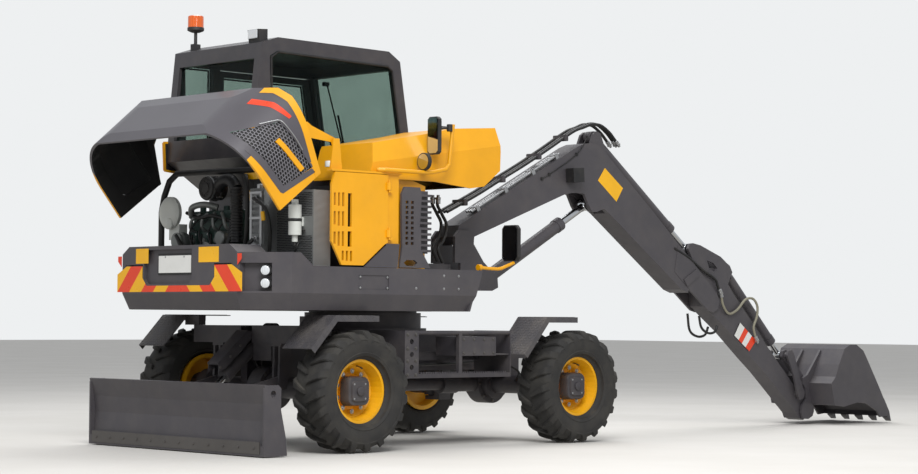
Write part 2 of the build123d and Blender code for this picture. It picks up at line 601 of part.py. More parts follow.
with BuildPart() as guard_panel:
    plate(GUARD_FACE, -912, -930)
    plate(GUARD_HOLES, -900, -940, mode=Mode.SUBTRACT)
    for step in range(9):
        for x in (-632, -582):
            block((x, x + 26), (-940, -900), (1395 + step * 35, 1415 + step * 35), mode=Mode.SUBTRACT)
    block((-500, -390), (-890, -878), (1340, 1770))
    for step in range(11):
        block((-500, -384), (-922, -878), (1350 + step * COMB_PITCH, 1366 + step * COMB_PITCH))
    block((-500, -488), (-930, -878), (1340, 1514))
write(guard_panel, "guard_panel")

# Side door: rows of upright slots, as (x, width, low, high)
DOOR_FACE = [(DOOR_REAR, 1400), (DOOR_REAR, 1780), (DOOR_REAR + 30, 1862), (DOOR_FRONT, 1862),
             (DOOR_FRONT, 1405), (-822, 1390), (-1010, 1246), (-1200, 1246)]
DOOR_SLOTS = [(-1271, 18, 1640, 1722), (-1235, 18, 1636, 1724), (-1199, 18, 1634, 1726),
              (-1149, 34, 1501, 1723),
              (-1271, 18, 1512, 1600), (-1235, 18, 1504, 1600), (-1199, 18, 1504, 1600),
              (-1271, 18, 1384, 1464), (-1235, 18, 1372, 1466), (-1199, 18, 1370, 1468),
              (-1149, 34, 1368, 1470),
              (-1199, 18, 1276, 1340), (-1163, 18, 1274, 1340), (-1127, 18, 1272, 1340)]

with BuildPart() as side_door:
    plate(DOOR_FACE, -912, -930)
    for x, width, low, high in DOOR_SLOTS:
        block((x, x + width), (-940, -900), (low, high), mode=Mode.SUBTRACT)
    for z in (1440, 1760):
        post(SIDE_HINGE[0], SIDE_HINGE[1], 12, z, z + 50)
        block((-810, SIDE_HINGE[0]), (-942, -930), (z, z + 50))
        post(SIDE_HINGE[0], SIDE_HINGE[1], 6 + FIT, z - 1, z + 51, mode=Mode.SUBTRACT)
write(side_door, "side_door")

with BuildPart() as kick_panel:
    plate([(-1000, 1236), (-806, 1384), (-806, 1398), (-684, 1398), (-700, 1236)], -913, -929)
write(kick_panel, "kick_panel")

# Nose cover, standing open on its rear upper hinge
COVER_SIDE = [(-905, 1860), (-842, 2084), (-309, 2180), (-85, 2228), (322, 2258), (333, 2086), (328, 1949),
              (133, 1803), (-302, 1842), (-905, 1842)]
COVER_VOID = [(-885, 1780), (-885, 1865), (-826, 2066), (-306, 2160), (-82, 2208), (304, 2238), (313, 2086),
              (309, 1958), (128, 1823), (120, 1780)]

COVER_SLOPE = (1164, 0, 174)  # direction of the cover's upper edge
COVER_TOP = [(-280, -400), (-280, -30), (-310, 60), (-800, 60), (-870, -130), (-870, -400)]
COVER_TOP_VOID = [(-296, -500), (-296, -38), (-318, 60), (-790, 60), (-854, -136), (-854, -500)]


def crowned(side_profile, top_profile):
    """Shell form with its side outline and the section of its upper edge in common."""
    plate(side_profile, -200, -900)
    rear = Plane(origin=(ORIGIN_X - 842, 0, 2084), x_dir=(0, 1, 0), z_dir=COVER_SLOPE)
    with BuildSketch(Plane(origin=rear.origin - rear.z_dir * 300, x_dir=(0, 1, 0),
                           z_dir=COVER_SLOPE)) as top:
        with BuildLine():
            Polyline(*top_profile, close=True)
        make_face()
    extrude(top.sketch, amount=1700, mode=Mode.INTERSECT)


with BuildPart() as cover_void:
    crowned(COVER_VOID, COVER_TOP_VOID)

with BuildPart() as nose_cover:
    crowned(COVER_SIDE, COVER_TOP)
    add(cover_void.part, mode=Mode.SUBTRACT)
    pin(COVER_HINGE, 10, -856, -830)
    pin(COVER_HINGE, 10, -294, -326)
    pin(COVER_HINGE, 24, -856, -842)
    pin(COVER_HINGE, 24, -294, -313)
write(nose_cover, "nose_cover")

with BuildPart() as handrail:
    pipe([(-867, -905, 1894.3), (-867, -945, 1894.3), (-427, -945, 1894.3), (-246, -945, 1930),
          (-208, -945, 2240)], 14, 30)
    pipe([(100, -900, 1258), (150, -900, 1252), (300, -900, 1248), (440, -900, 1296.3)], 12, 20)
    stub(-900, 1256, 22, 84, 112)
write(handrail, "handrail")

MIRROR_FACE = [(-870, 2042), (-870, 2268), (-890, 2285), (-960, 2285), (-980, 2268), (-980, 2042),
               (-960, 2025), (-890, 2025)]
FRONT_MIRROR = [(-790, 1335), (-790, 1540), (-812, 1566), (-928, 1566), (-952, 1540), (-952, 1335),
                (-928, 1308), (-812, 1308)]

with BuildPart() as mirrors:
    bar(MIRROR_FACE, -378, -350)
    pipe([(-352, -940, 2200), (-270, -940, 2215), (-226.6, -940, 2215)], 9, 20)
    stub(-945, 1968.6, 60, -488, -462)
    bar(FRONT_MIRROR, 430, 458)
write(mirrors, "mirrors")

# ---- Cab ----

CAB_RIGHT = -150.0
CAB_LEFT = 850.0
CAB_WALL = 50.0
CAB_SIDE = [(-950, DECK_TOP), (20, DECK_TOP), (105, 1800), (94, 2269), (10, 2759), (-99, 2825),
            (-1127, 2834), (-1268, 2788), (-1315, 2350), (-1330, 2000), (-950, 1760)]
CAB_VOID = [(-900, DECK_TOP + 40), (-30, DECK_TOP + 40), (52, 1800), (42, 2264), (-38, 2730), (-112, 2774),
            (-1118, 2783), (-1222, 2745), (-1265, 2348), (-1278, 2030), (-900, 1790)]
SIDE_WINDOW = [(-1180, 2120), (-1197, 2700), (-1130, 2740), (-110, 2723), (-60, 2690), (15, 2260),
               (20, 2150), (-254, 2102), (-775, 1967)]

QUARTER_WINDOW = [(-1200, 2120), (-1215, 2700), (-960, 2700), (-960, 1900)]
REAR_GLASS = [(-1300, 2150), (-1294, 2150), (-1250, 2680), (-1256, 2680)]
FRONT_GLASS = [(10, 1250), (16, 1250), (81, 1800), (71, 2268), (-2, 2700), (-8, 2700), (65, 2268),
               (75, 1800)]

with BuildPart() as cab_shell:
    plate(CAB_SIDE, CAB_LEFT, CAB_RIGHT)
    plate(CAB_VOID, CAB_LEFT - CAB_WALL, CAB_RIGHT + CAB_WALL, mode=Mode.SUBTRACT)
    plate(SIDE_WINDOW, CAB_RIGHT + CAB_WALL, CAB_RIGHT, mode=Mode.SUBTRACT)
    block((-100, 200), (CAB_RIGHT + 60, CAB_LEFT - 60), (1250, 2700), mode=Mode.SUBTRACT)
    block((-1400, -1150), (CAB_RIGHT + 70, CAB_LEFT - 70), (2150, 2680), mode=Mode.SUBTRACT)
    for z in DOOR_HINGES:
        post(DOOR_HINGE[0], DOOR_HINGE[1], 8, z - 14, z + 64)
        block((-935, DOOR_HINGE[0]), (CAB_LEFT, 874), (z - 14, z - 1))
    plate([(-900, 1244), (-10, 1244), (45, 1800), (35, 2264), (-45, 2700), (-900, 2700)], CAB_LEFT,
          CAB_LEFT - CAB_WALL, mode=Mode.SUBTRACT)
    plate(QUARTER_WINDOW, CAB_LEFT, CAB_LEFT - CAB_WALL, mode=Mode.SUBTRACT)
write(cab_shell, "cab_shell")

with BuildPart() as cab_glass:
    plate(SIDE_WINDOW, CAB_RIGHT + 22, CAB_RIGHT + 16)
    plate(QUARTER_WINDOW, CAB_LEFT - 16, CAB_LEFT - 22)
    plate(REAR_GLASS, CAB_LEFT - 70, CAB_RIGHT + 70)
    plate(FRONT_GLASS, CAB_LEFT - 60, CAB_RIGHT + 60)
write(cab_glass, "cab_glass")

with BuildPart() as cab_interior:
    block((-760, -260), (120, 620), (DECK_TOP + 40, 1400))
    block((-780, -280), (110, 630), (1400, 1520))
    plate([(-780, 1500), (-700, 1500), (-830, 2120), (-900, 2100)], 600, 140)
    for y in (60, 640):
        block((-640, -300), (y, y + 60), (DECK_TOP + 40, 1640))
write(cab_interior, "cab_interior")

with BuildPart() as cab_door:
    plate([(-894, 1250), (-16, 1250), (39, 1800), (29, 2262), (-50, 2694), (-894, 2694)], CAB_LEFT,
          CAB_LEFT - 30)
    plate([(-850, 1500), (-50, 1500), (-10, 1800), (-20, 2250), (-90, 2650), (-850, 2650)], CAB_LEFT + 1,
          CAB_LEFT - 31, mode=Mode.SUBTRACT)
    for z in DOOR_HINGES:
        post(DOOR_HINGE[0], DOOR_HINGE[1], 16, z, z + 50)
        block((DOOR_HINGE[0] + 2, -865), (CAB_LEFT, 866), (z, z + 50))
        post(DOOR_HINGE[0], DOOR_HINGE[1], 8 + FIT, z - 1, z + 51, mode=Mode.SUBTRACT)
write(cab_door, "cab_door")

with BuildPart() as door_glass:
    plate([(-850, 1500), (-50, 1500), (-10, 1800), (-20, 2250), (-90, 2650), (-850, 2650)], CAB_LEFT - 12,
          CAB_LEFT - 18)
write(door_glass, "door_glass")

with BuildPart() as lamps:
    plate([(-1250, 2794.1), (-1180, 2816.9), (-1180, 2890), (-1262, 2884)], 20, -100)
    plate([(-1230, 2800.7), (-1170, 2820.2), (-1170, 2850), (-1230, 2850)], 720, 680)
    post(-1200, 700, 12, 2840, 2960)
    post(-1200, 700, 55, 2960, 3050)
    for s in (1, -1):
        for z in (1118, 1202):
            x, y = weight_face(200, -43.7, s)
            outward = (-0.7834, s * 0.6216, 0)
            with BuildSketch(Plane(origin=(ORIGIN_X + x, y, z), z_dir=outward)) as face:
                Circle(34)
            extrude(face.sketch, amount=36)
write(lamps, "lamps")

# ---- Rear hood, standing open on its upper hinge ----

HOOD_OPEN = 50.0
HOOD_Y = 900.0
HOOD_WALL = 20.0
HOOD_SIDE = [(-1168, 1390), (-1800, 1400), (-1820, 1480), (-1820, 1780), (-1800, 1900), (-1730, 1980),
             (-1650, 1990), (-1146, 1815)]
HOOD_VOID = [(-1100, 1350), (-1782, 1350), (-1800, 1482), (-1800, 1776), (-1782, 1888), (-1722, 1960),
             (-1652, 1969), (-1100, 1778)]
GRILLE_SIDE = [(-1222, 1775), (-1600, 1775), (-1712, 1540), (-1740, 1480), (-1270, 1510)]
GRILLE_FIELD = [(-1240, 1760), (-1590, 1760), (-1712, 1498), (-1284, 1524)]
RIM_FRONT = [(-1100, 1300), (-1100, 1900), (-1200, 1900), (-1222, 1775), (-1270, 1510), (-1560, 1480),
             (-1620, 1300)]
HOOD_NOTCH = [(-1050, -882), (-1180, -872), (-1420, -820), (-1482, -750), (-1577, -500), (-1650, 0),
              (-1577, 500), (-1482, 750), (-1420, 820), (-1180, 872), (-1050, 882)]
HOOD_ARCH = [(-1050, -950), (-1255, -950), (-1255, -880), (-1470, -868), (-1540, -785), (-1637, -525),
             (-1712, 0), (-1637, 525), (-1540, 785), (-1470, 868), (-1255, 880),
             (-1255, 950), (-1050, 950)]

# Hinge lugs on the arch: distance from the centre line and the run of the lug's rear edge
HOOD_LUGS = [(-284, [(-1650, 2000), (-1650, 1985), (-1430, 1912), (-1380, 1900)]),
             (-866, [(-1462, 1962), (-1462, 1921), (-1430, 1912), (-1380, 1900)])]

with BuildPart() as hood_shut:
    with BuildSketch(level(1300)) as plan:
        with BuildLine():
            FilletPolyline((-1100, -HOOD_Y), (-1820, -HOOD_Y), (-1820, HOOD_Y), (-1100, HOOD_Y), radius=400)
            Line((-1100, HOOD_Y), (-1100, -HOOD_Y))
        make_face()
    extrude(plan.sketch, amount=800)
    plate(HOOD_SIDE, 1000, -1000, mode=Mode.INTERSECT)
    with BuildPart(mode=Mode.PRIVATE) as hollow:
        with BuildSketch(level(1300)) as plan_in:
            with BuildLine():
                FilletPolyline((-1100, -HOOD_Y + HOOD_WALL), (-1820 + HOOD_WALL, -HOOD_Y + HOOD_WALL),
                               (-1820 + HOOD_WALL, HOOD_Y - HOOD_WALL),
                               (-1100, HOOD_Y - HOOD_WALL), radius=380)
                Line((-1100, HOOD_Y - HOOD_WALL), (-1100, -HOOD_Y + HOOD_WALL))
            make_face()
        extrude(plan_in.sketch, amount=800)
        plate(HOOD_VOID, 1000, -1000, mode=Mode.INTERSECT)
    add(hollow.part, mode=Mode.SUBTRACT)
    slab(HOOD_NOTCH, 1700, 2100, mode=Mode.SUBTRACT)

with BuildPart() as hood_parts:
    add(hood_shut.part)
    for s in (1, -1):
        plate(GRILLE_SIDE, s * 1000, s * 700, mode=Mode.SUBTRACT)
        plate(RIM_FRONT, s * 1000, s * 870, mode=Mode.SUBTRACT)
    slab(HOOD_ARCH, 1790, 2100, mode=Mode.SUBTRACT)

with BuildPart() as rim_parts:
    add(hood_shut.part)
    for s in (1, -1):
        plate(GRILLE_SIDE, s * 1000, s * 700, mode=Mode.SUBTRACT)
    with BuildPart(mode=Mode.PRIVATE) as strips:
        for s in (1, -1):
            plate(RIM_FRONT, s * 1000, s * 870)
        slab(HOOD_ARCH, 1790, 2100)
    add(strips.part, mode=Mode.INTERSECT)
    for y, tail in HOOD_LUGS:
        plate([(-1240, 2038), (-1200, 2040), (-1198, 2080), (-1242, 2082), (-1420, 1975)] + tail, y + 16, y)
        pin(HOOD_HINGE, 26, y + 16, y)
        pin(HOOD_HINGE, HINGE_PIN + FIT, y + 17, y - 1, mode=Mode.SUBTRACT)

with BuildPart() as grille_parts:
    for s in (1, -1):
        plate(GRILLE_SIDE, s * (HOOD_Y - 4), s * (HOOD_Y - HOOD_WALL + 4))
        with BuildSketch(side(max(s * HOOD_Y, s * 860))) as cells:
            with Locations((-1440, 1630)):
                with HexLocations(21, 16, 9):
                    RegularPolygon(16, 6)
        with BuildSketch(side(max(s * HOOD_Y, s * 860))) as field:
            with BuildLine():
                Polyline(*GRILLE_FIELD, close=True)
            make_face()
        depth = 40 if s < 0 else 5
        extrude(cells.sketch & field.sketch, amount=depth, mode=Mode.SUBTRACT)
    plate([(-1400, 1745), (-1448, 1745), (-1512, 1545), (-1464, 1545)], -HOOD_Y + 4, -HOOD_Y + 14)

HOOD_AXIS = Axis((ORIGIN_X + HOOD_HINGE[0], 0, HOOD_HINGE[1]), (0, 1, 0))
for name, closed in (("hood", hood_parts), ("hood_rim", rim_parts), ("hood_grille", grille_parts)):
    with BuildPart() as raised:
        add(closed.part.rotate(HOOD_AXIS, HOOD_OPEN))
    write(raised, name)

# ---- Boom group ----

with BuildPart() as swing_post:
    post(SWING_X, BOOM_Y, 80, 1102, 1238)
    block((440, 600), (BOOM_Y - 80, BOOM_Y + 80), (1102, 1238))
    block((520, 600), (BOOM_Y - 131, BOOM_Y + 131), (1102, 1238))
    for s in (1, -1):
        plate([(463, 1306), (463, 1500), (505, 1548), (630, 1548), (660, 1505), (655, 1450), (758, 1319),
               (905, 1205), (912, 1130), (850, 1105), (520, 1102), (520, 1306)],
              BOOM_Y + s * 106, BOOM_Y + s * 131)
        pin(BOOM_BASE, 50, BOOM_Y + s * 41, BOOM_Y + s * 131)
    pin(BOOM_PIN, 30, BOOM_Y + 131, BOOM_Y - 131)
    pin(BOOM_BASE, 26, BOOM_Y + 131, BOOM_Y - 131)
    post(SWING_X, BOOM_Y, 40 + FIT, 1090, 1310, mode=Mode.SUBTRACT)
write(swing_post, "swing_post")

BOOM_SIDE = [(560, 1440), (640, 1487), (1662, 1863), (1757, 1881), (1852, 1882), (1949, 1862), (2046, 1816),
             (2169, 1738), (2544, 1485), (3050, 1146),
             (3134, 1120), (3181, 1378), (2672, 1790), (2332, 2052), (2166, 2185), (2105, 2235),
             (2043, 2268), (1970, 2280), (1886, 2272), (1802, 2242),
             (530, 1586), (512, 1500)]

with BuildPart() as boom:
    plate(BOOM_SIDE, BOOM_Y + 100, BOOM_Y - 100)
    block((1700, 2170), (BOOM_Y - 60, BOOM_Y + 60), (1690, 2012), mode=Mode.SUBTRACT)
    for s in (1, -1):
        plate([(1860, 1920), (1935, 1790), (1972, 1744), (2030, 1742), (2110, 1770), (2169, 1738),
               (2230, 1760), (2100, 1940)], BOOM_Y + s * 75, BOOM_Y + s * 100)
        plate([(1960, 2240), (2010, 2355), (2050, 2380), (2092, 2365), (2200, 2130)], BOOM_Y + s * 56,
              BOOM_Y + s * 78)
        plate([(2960, 1290), (3061, 1210), (3134, 1157), (3385, 978), (3450, 962), (3510, 990),
               (3528, 1052), (3495, 1120), (3181, 1378), (3000, 1500)],
              BOOM_Y + s * 83, BOOM_Y + s * 103)
        pin(BOOM_EYE, 42, BOOM_Y + s * 41, BOOM_Y + s * 100)
        plate([(3070, 1228), (3225, 1316), (3262, 1262), (3110, 1172)], BOOM_Y + s * 98, BOOM_Y + s * 112)
    pin(ARM_BASE, 25, BOOM_Y + 78, BOOM_Y - 78)
    pin(ARM_PIN, 32, BOOM_Y + 103, BOOM_Y - 103)
    pin(BOOM_PIN, 30 + FIT, BOOM_Y + 110, BOOM_Y - 110, mode=Mode.SUBTRACT)
write(boom, "boom")

BOOM_CREST = [(530, 1586), (1802, 2242)]
PIPE_OFFSET = 26.0
PIPE_RUN = [beside(*BOOM_CREST, 180, PIPE_OFFSET), beside(*BOOM_CREST, 1240, PIPE_OFFSET)]
CLAMP_PLACES = (230, 560, 890, 1180)

with BuildPart() as boom_pipes:
    for y in (-76, -51, -26):
        strut(*PIPE_RUN, 9, BOOM_Y + y)
    for place in CLAMP_PLACES:
        plate([beside(*BOOM_CREST, place, 0), beside(*BOOM_CREST, place + 34, 0),
               beside(*BOOM_CREST, place + 34, 39), beside(*BOOM_CREST, place, 39)],
              BOOM_Y - 12, BOOM_Y - 90)
write(boom_pipes, "boom_pipes")

with BuildPart() as boom_lamp:
    plate([(1672, 1955), (1790, 1962), (1784, 2072), (1664, 2064)], BOOM_Y - 108, BOOM_Y - 190)
    plate([(1700, 1990), (1760, 1994), (1757, 2034), (1697, 2030)], BOOM_Y - 100, BOOM_Y - 108)
write(boom_lamp, "boom_lamp")

with BuildPart() as boom_barrel:
    barrel(BOOM_BASE, BOOM_EYE, 50, 30 + FIT, 985, 84, 35, 26, BOOM_Y)
write(boom_barrel, "boom_barrel")

with BuildPart() as boom_rod:
    rod(BOOM_BASE, BOOM_EYE, 30, 340, 35, 48, 24, BOOM_Y)
write(boom_rod, "boom_rod")

ARM_BOX = [(3345, 1110), (3360, 1010), (3401, 985), (3681, 805), (3989, 575), (4158, 455), (4600, 100),
           (4640, 55), (4690, 37), (4745, 60), (4758, 120),
           (4740, 200), (4655, 320), (4560, 345), (4387, 500), (4206, 665), (4049, 823), (3760, 1100),
           (3668, 1203), (3560, 1330), (3470, 1330)]

with BuildPart() as arm:
    plate(ARM_BOX, BOOM_Y + 78, BOOM_Y - 78)
    for s in (1, -1):
        plate([(3345, 1110), (3235, 1360), (3158, 1482), (3180, 1525), (3220, 1530), (3314, 1515),
               (3573, 1427), (3640, 1385), (3668, 1203), (3500, 1100)],
              BOOM_Y + s * 53, BOOM_Y + s * 78)
        plate([(3560, 1340), (3573, 1427), (3711, 1355), (3745, 1300), (3720, 1260), (3680, 1180),
               (3600, 1240)], BOOM_Y + s * 44, BOOM_Y + s * 64)
        pin(ROCKER_PIN, 30, BOOM_Y + s * 70, BOOM_Y + s * 130)
    plate([(3396, 1392), (3480, 1372), (3530, 1330), (3512, 1296), (3430, 1318)], BOOM_Y + 80, BOOM_Y + 52,
          mode=Mode.SUBTRACT)
    plate([(3396, 1392), (3480, 1372), (3530, 1330), (3512, 1296), (3430, 1318)], BOOM_Y - 52, BOOM_Y - 80,
          mode=Mode.SUBTRACT)
    pin(BUCKET_BASE, 22, BOOM_Y + 64, BOOM_Y - 64)
    pin(ARM_PIN, 32 + FIT, BOOM_Y + 80, BOOM_Y - 80, mode=Mode.SUBTRACT)
    pin(BUCKET_PIN, 30 + FIT, BOOM_Y + 80, BOOM_Y - 80, mode=Mode.SUBTRACT)
write(arm, "arm")

with BuildPart() as arm_barrel:
    barrel(ARM_BASE, ARM_EYE, 48, 28 + FIT, 1180, 94, 35, 25, BOOM_Y)
write(arm_barrel, "arm_barrel")

with BuildPart() as arm_rod:
    rod(ARM_BASE, ARM_EYE, 28, 130, 35, 44, 24, BOOM_Y)
write(arm_rod, "arm_rod")

with BuildPart() as bucket_barrel:
    barrel(BUCKET_BASE, ROCKER_JOINT, 42, 24 + FIT, 868, 86, 34, 22, BOOM_Y)
write(bucket_barrel, "bucket_barrel")

with BuildPart() as bucket_rod:
    rod(BUCKET_BASE, ROCKER_JOINT, 24, 115, 34, 38, 20, BOOM_Y)
write(bucket_rod, "bucket_rod")

with BuildPart() as rocker:
    for s in (1, -1):
        plate([(4405, 600), (4425, 640), (4470, 645), (4500, 610), (4560, 450), (4648, 275), (4630, 225),
               (4580, 215), (4552, 255), (4500, 420)],
              BOOM_Y + s * 112, BOOM_Y + s * 130)
        pin(ROCKER_JOINT, 25, BOOM_Y + s * 38, BOOM_Y + s * 130)
        pin(ROCKER_PIN, 30 + FIT, BOOM_Y + s * 110, BOOM_Y + s * 132, mode=Mode.SUBTRACT)
write(rocker, "rocker")

with BuildPart() as link:
    for s in (1, -1):
        plate([(4408, 590), (4420, 635), (4460, 648), (4496, 620), (4620, 505), (4722, 398), (4729, 365),
               (4708, 343), (4672, 344), (4560, 450)], BOOM_Y + s * 42, BOOM_Y + s * 72)
        pin(ROCKER_JOINT, 25 + FIT, BOOM_Y + s * 40, BOOM_Y + s * 74, mode=Mode.SUBTRACT)
    plate([(4620, 420), (4660, 470), (4720, 400), (4680, 350)], BOOM_Y + 45, BOOM_Y - 45)
write(link, "link")

BUCKET_HALF_WIDTH = 345.0
BUCKET_WALL = 18.0
BUCKET_SIDE = [(4789, 170), (4740, 358), (4802, 416), (4851, 520), (4926, 655), (5013, 692), (5101, 692),
               (5203, 638), (5254, 570), (5446, 301), (5575, 108), (5560, 62),
               (5452, 52), (5401, 111), (5253, 175), (5126, 189), (5026, 173), (4926, 156)]
BUCKET_VOID = [(4815, 0), (4808, 172), (4765, 352), (4818, 403), (4868, 512), (4938, 638), (5018, 672),
               (5096, 672), (5190, 624), (5238, 559), (5429, 291), (5548, 100), (5480, -60)]

with BuildPart() as bucket:
    plate(BUCKET_SIDE, BOOM_Y + BUCKET_HALF_WIDTH, BOOM_Y - BUCKET_HALF_WIDTH)
    for y in (-300, -150, 0, 150, 300):
        plate([(5500, 180), (5530, 215), (5610, 100), (5637, 12), (5585, 45)], BOOM_Y + y + 28,
              BOOM_Y + y - 28)
    for s in (1, -1):
        plate([(4635, 100), (4660, 52), (4730, 45), (4790, 70), (4850, 190), (4905, 330), (4935, 600),
               (4905, 645), (4800, 520), (4720, 430), (4655, 400), (4655, 350),
               (4690, 310), (4700, 220), (4648, 165)], BOOM_Y + s * 84, BOOM_Y + s * 106)
    plate(BUCKET_VOID, BOOM_Y + BUCKET_HALF_WIDTH - BUCKET_WALL, BOOM_Y - BUCKET_HALF_WIDTH + BUCKET_WALL,
          mode=Mode.SUBTRACT)
    pin(BUCKET_PIN, 30, BOOM_Y + 106, BOOM_Y - 106)
write(bucket, "bucket")
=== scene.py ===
"""Looks of a compact wheeled excavator, built around its fixed frame."""

import logging
import math
from dataclasses import dataclass
from enum import Enum

import bmesh
import bpy
from mathutils import Matrix, Vector


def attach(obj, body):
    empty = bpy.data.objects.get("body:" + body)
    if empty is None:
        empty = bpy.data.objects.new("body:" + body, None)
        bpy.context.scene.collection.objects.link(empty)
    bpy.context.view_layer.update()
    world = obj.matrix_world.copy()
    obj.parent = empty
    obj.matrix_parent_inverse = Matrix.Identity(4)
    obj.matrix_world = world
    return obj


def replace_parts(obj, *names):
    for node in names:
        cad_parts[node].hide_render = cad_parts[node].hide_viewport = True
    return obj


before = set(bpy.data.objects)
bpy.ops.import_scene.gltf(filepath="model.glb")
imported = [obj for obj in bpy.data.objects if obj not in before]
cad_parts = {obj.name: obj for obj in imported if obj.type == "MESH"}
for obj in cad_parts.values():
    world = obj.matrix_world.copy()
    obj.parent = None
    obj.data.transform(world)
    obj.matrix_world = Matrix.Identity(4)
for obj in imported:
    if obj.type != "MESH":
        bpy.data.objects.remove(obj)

LOG = logging.getLogger("excavator")
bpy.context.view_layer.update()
Point = tuple[float, float, float]
Colour = tuple[float, float, float]
Span = tuple[float, float]
Outline = list[Span]
Socket = bpy.types.NodeSocket

# Stations count from mid-wheelbase, which stands here in the frame.
ORIGIN_X = -1.755
CENTRE = (-ORIGIN_X, 0.0, 0.0)
AXLE_STATION = 1.05
AXLE_HEIGHT = 0.408
SIDES = (1, -1)
FORWARD, REARWARD = (1.0, 0.0, 0.0), (-1.0, 0.0, 0.0)
UPWARD = (0.0, 0.0, 1.0)
SHARP_ANGLE = math.radians(38)
BEVEL_ANGLE = 0.6
COAT_ROUGHNESS = 0.15
RUN_STEPS = 7


# ---- Finishes ----


class Relief(Enum):
    """Surface structure that a finish carries."""

    SMOOTH = "smooth"
    ORANGE_PEEL = "orange_peel"
    CAST = "cast"
    TREAD_PLATE = "tread_plate"
    FINS = "fins"
    WEAVE = "weave"
    TURNED = "turned"


class Graph:
    """A node tree, written from its inputs to its output."""

    def __init__(self, owner: bpy.types.Material | bpy.types.World) -> None:
        """Starts an empty tree.

        Args:
            owner: the material or world that the tree belongs to.
        """
        self.owner = owner
        owner.use_nodes = True
        self.tree = owner.node_tree
        self.tree.nodes.clear()

    def node(self, kind: str, inputs: dict | None = None, **settings: object) -> bpy.types.Node:
        """Adds a node.

        Args:
            kind: the node's type.
            inputs: a value or a socket for each named or numbered input.
            settings: the node's own properties.

        Returns:
            The new node.
        """
        made = self.tree.nodes.new(kind)
        for key, value in settings.items():
            setattr(made, key, value)
        for key, value in (inputs or {}).items():
            if isinstance(value, Socket):
                self.tree.links.new(value, made.inputs[key])
            else:
                made.inputs[key].default_value = value
        return made

    def place(self, scale: float = 1.0) -> Socket:
        """Gives object coordinates.

        Args:
            scale: the pattern's scale.

        Returns:
            The vector socket.
        """
        source = self.node("ShaderNodeTexCoord").outputs["Object"]
        return self.node("ShaderNodeMapping", {"Vector": source, "Scale": (scale, scale, scale)}).outputs[0]

    def noise(self, scale: float, detail: float) -> Socket:
        """Gives a noise value on object coordinates.

        Args:
            scale: cells in a metre.
            detail: octaves.

        Returns:
            The value socket.
        """
        inputs = {"Vector": self.place(), "Scale": scale, "Detail": detail, "Roughness": 0.6}
        return self.node("ShaderNodeTexNoise", inputs).outputs[0]

    def sum(self, kind: str, first: object, second: object = 0.0, third: object = 0.0) -> Socket:
        """Gives the result of one arithmetic step.

        Args:
            kind: the operation.
            first: its first value or socket.
            second: its second value or socket.
            third: its third value or socket.

        Returns:
            The value socket.
        """
        return self.node("ShaderNodeMath", {0: first, 1: second, 2: third}, operation=kind).outputs[0]

    def span(
        self, value: object, low: float, high: float, out_low: float = 0.0, out_high: float = 1.0
    ) -> Socket:
        """Maps a value from one span to another, clamped.

        Args:
            value: the value or socket.
            low: start of its span.
            high: end of its span.
            out_low: start of the new span.
            out_high: end of the new span.

        Returns:
            The value socket.
        """
        inputs = {"Value": value, "From Min": low, "From Max": high, "To Min": out_low, "To Max": out_high}
        return self.node("ShaderNodeMapRange", inputs, clamp=True).outputs[0]

    def mix(self, share: object, first: object, second: object) -> Socket:
        """Mixes two colours.

        Args:
            share: how much of the second.
            first: the first colour or socket.
            second: the second colour or socket.

        Returns:
            The colour socket.
        """
        return self.node("ShaderNodeMix", {0: share, 6: first, 7: second}, data_type="RGBA").outputs[2]

    def bump(self, height: Socket, distance: float, strength: float = 1.0, below: object = None) -> Socket:
        """Turns a height into a normal.

        Args:
            height: the height socket.
            distance: the relief's height in metres.
            strength: how strongly it shows.
            below: the normal of a relief under it.

        Returns:
            The normal socket.
        """
        inputs = {"Height": height, "Distance": distance, "Strength": strength}
        if below is not None:
            inputs["Normal"] = below
        return self.node("ShaderNodeBump", inputs).outputs[0]

    def finish(
        self, shader: bpy.types.Node, kind: str = "Material"
    ) -> bpy.types.Material | bpy.types.World:
        """Joins the shader to the output.

        Args:
            shader: the last shader node.
            kind: which output, Material or World.

        Returns:
            The tree's owner.
        """
        self.node(f"ShaderNodeOutput{kind}", {"Surface": shader.outputs[0]})
        return self.owner


def rgba(colour: Colour) -> tuple[float, float, float, float]:
    """Gives a colour its alpha."""
    return (*colour, 1.0)


def srgb(code: str) -> Colour:
    """Turns a colour code into linear values.

    Args:
        code: six hexadecimal digits.

    Returns:
        The linear colour.
    """
    parts = [int(code[i : i + 2], 16) / 255 for i in (0, 2, 4)]
    return tuple(p / 12.92 if p <= 0.04045 else ((p + 0.055) / 1.055) ** 2.4 for p in parts)


class Coating:
    """What all finishes share: each is built into a material once."""

    name: str

    def shader(self, graph: Graph) -> bpy.types.Node:
        """Builds the shader, in each kind of finish.

        Args:
            graph: the material's tree.

        Returns:
            The last shader node.
        """
        raise NotImplementedError

    def material(self) -> bpy.types.Material:
        """Gives the material, built where it isn't there yet.

        Returns:
            The material.
        """
        known = bpy.data.materials.get(self.name)
        if known:
            return known
        graph = Graph(bpy.data.materials.new(self.name))
        return graph.finish(self.shader(graph))


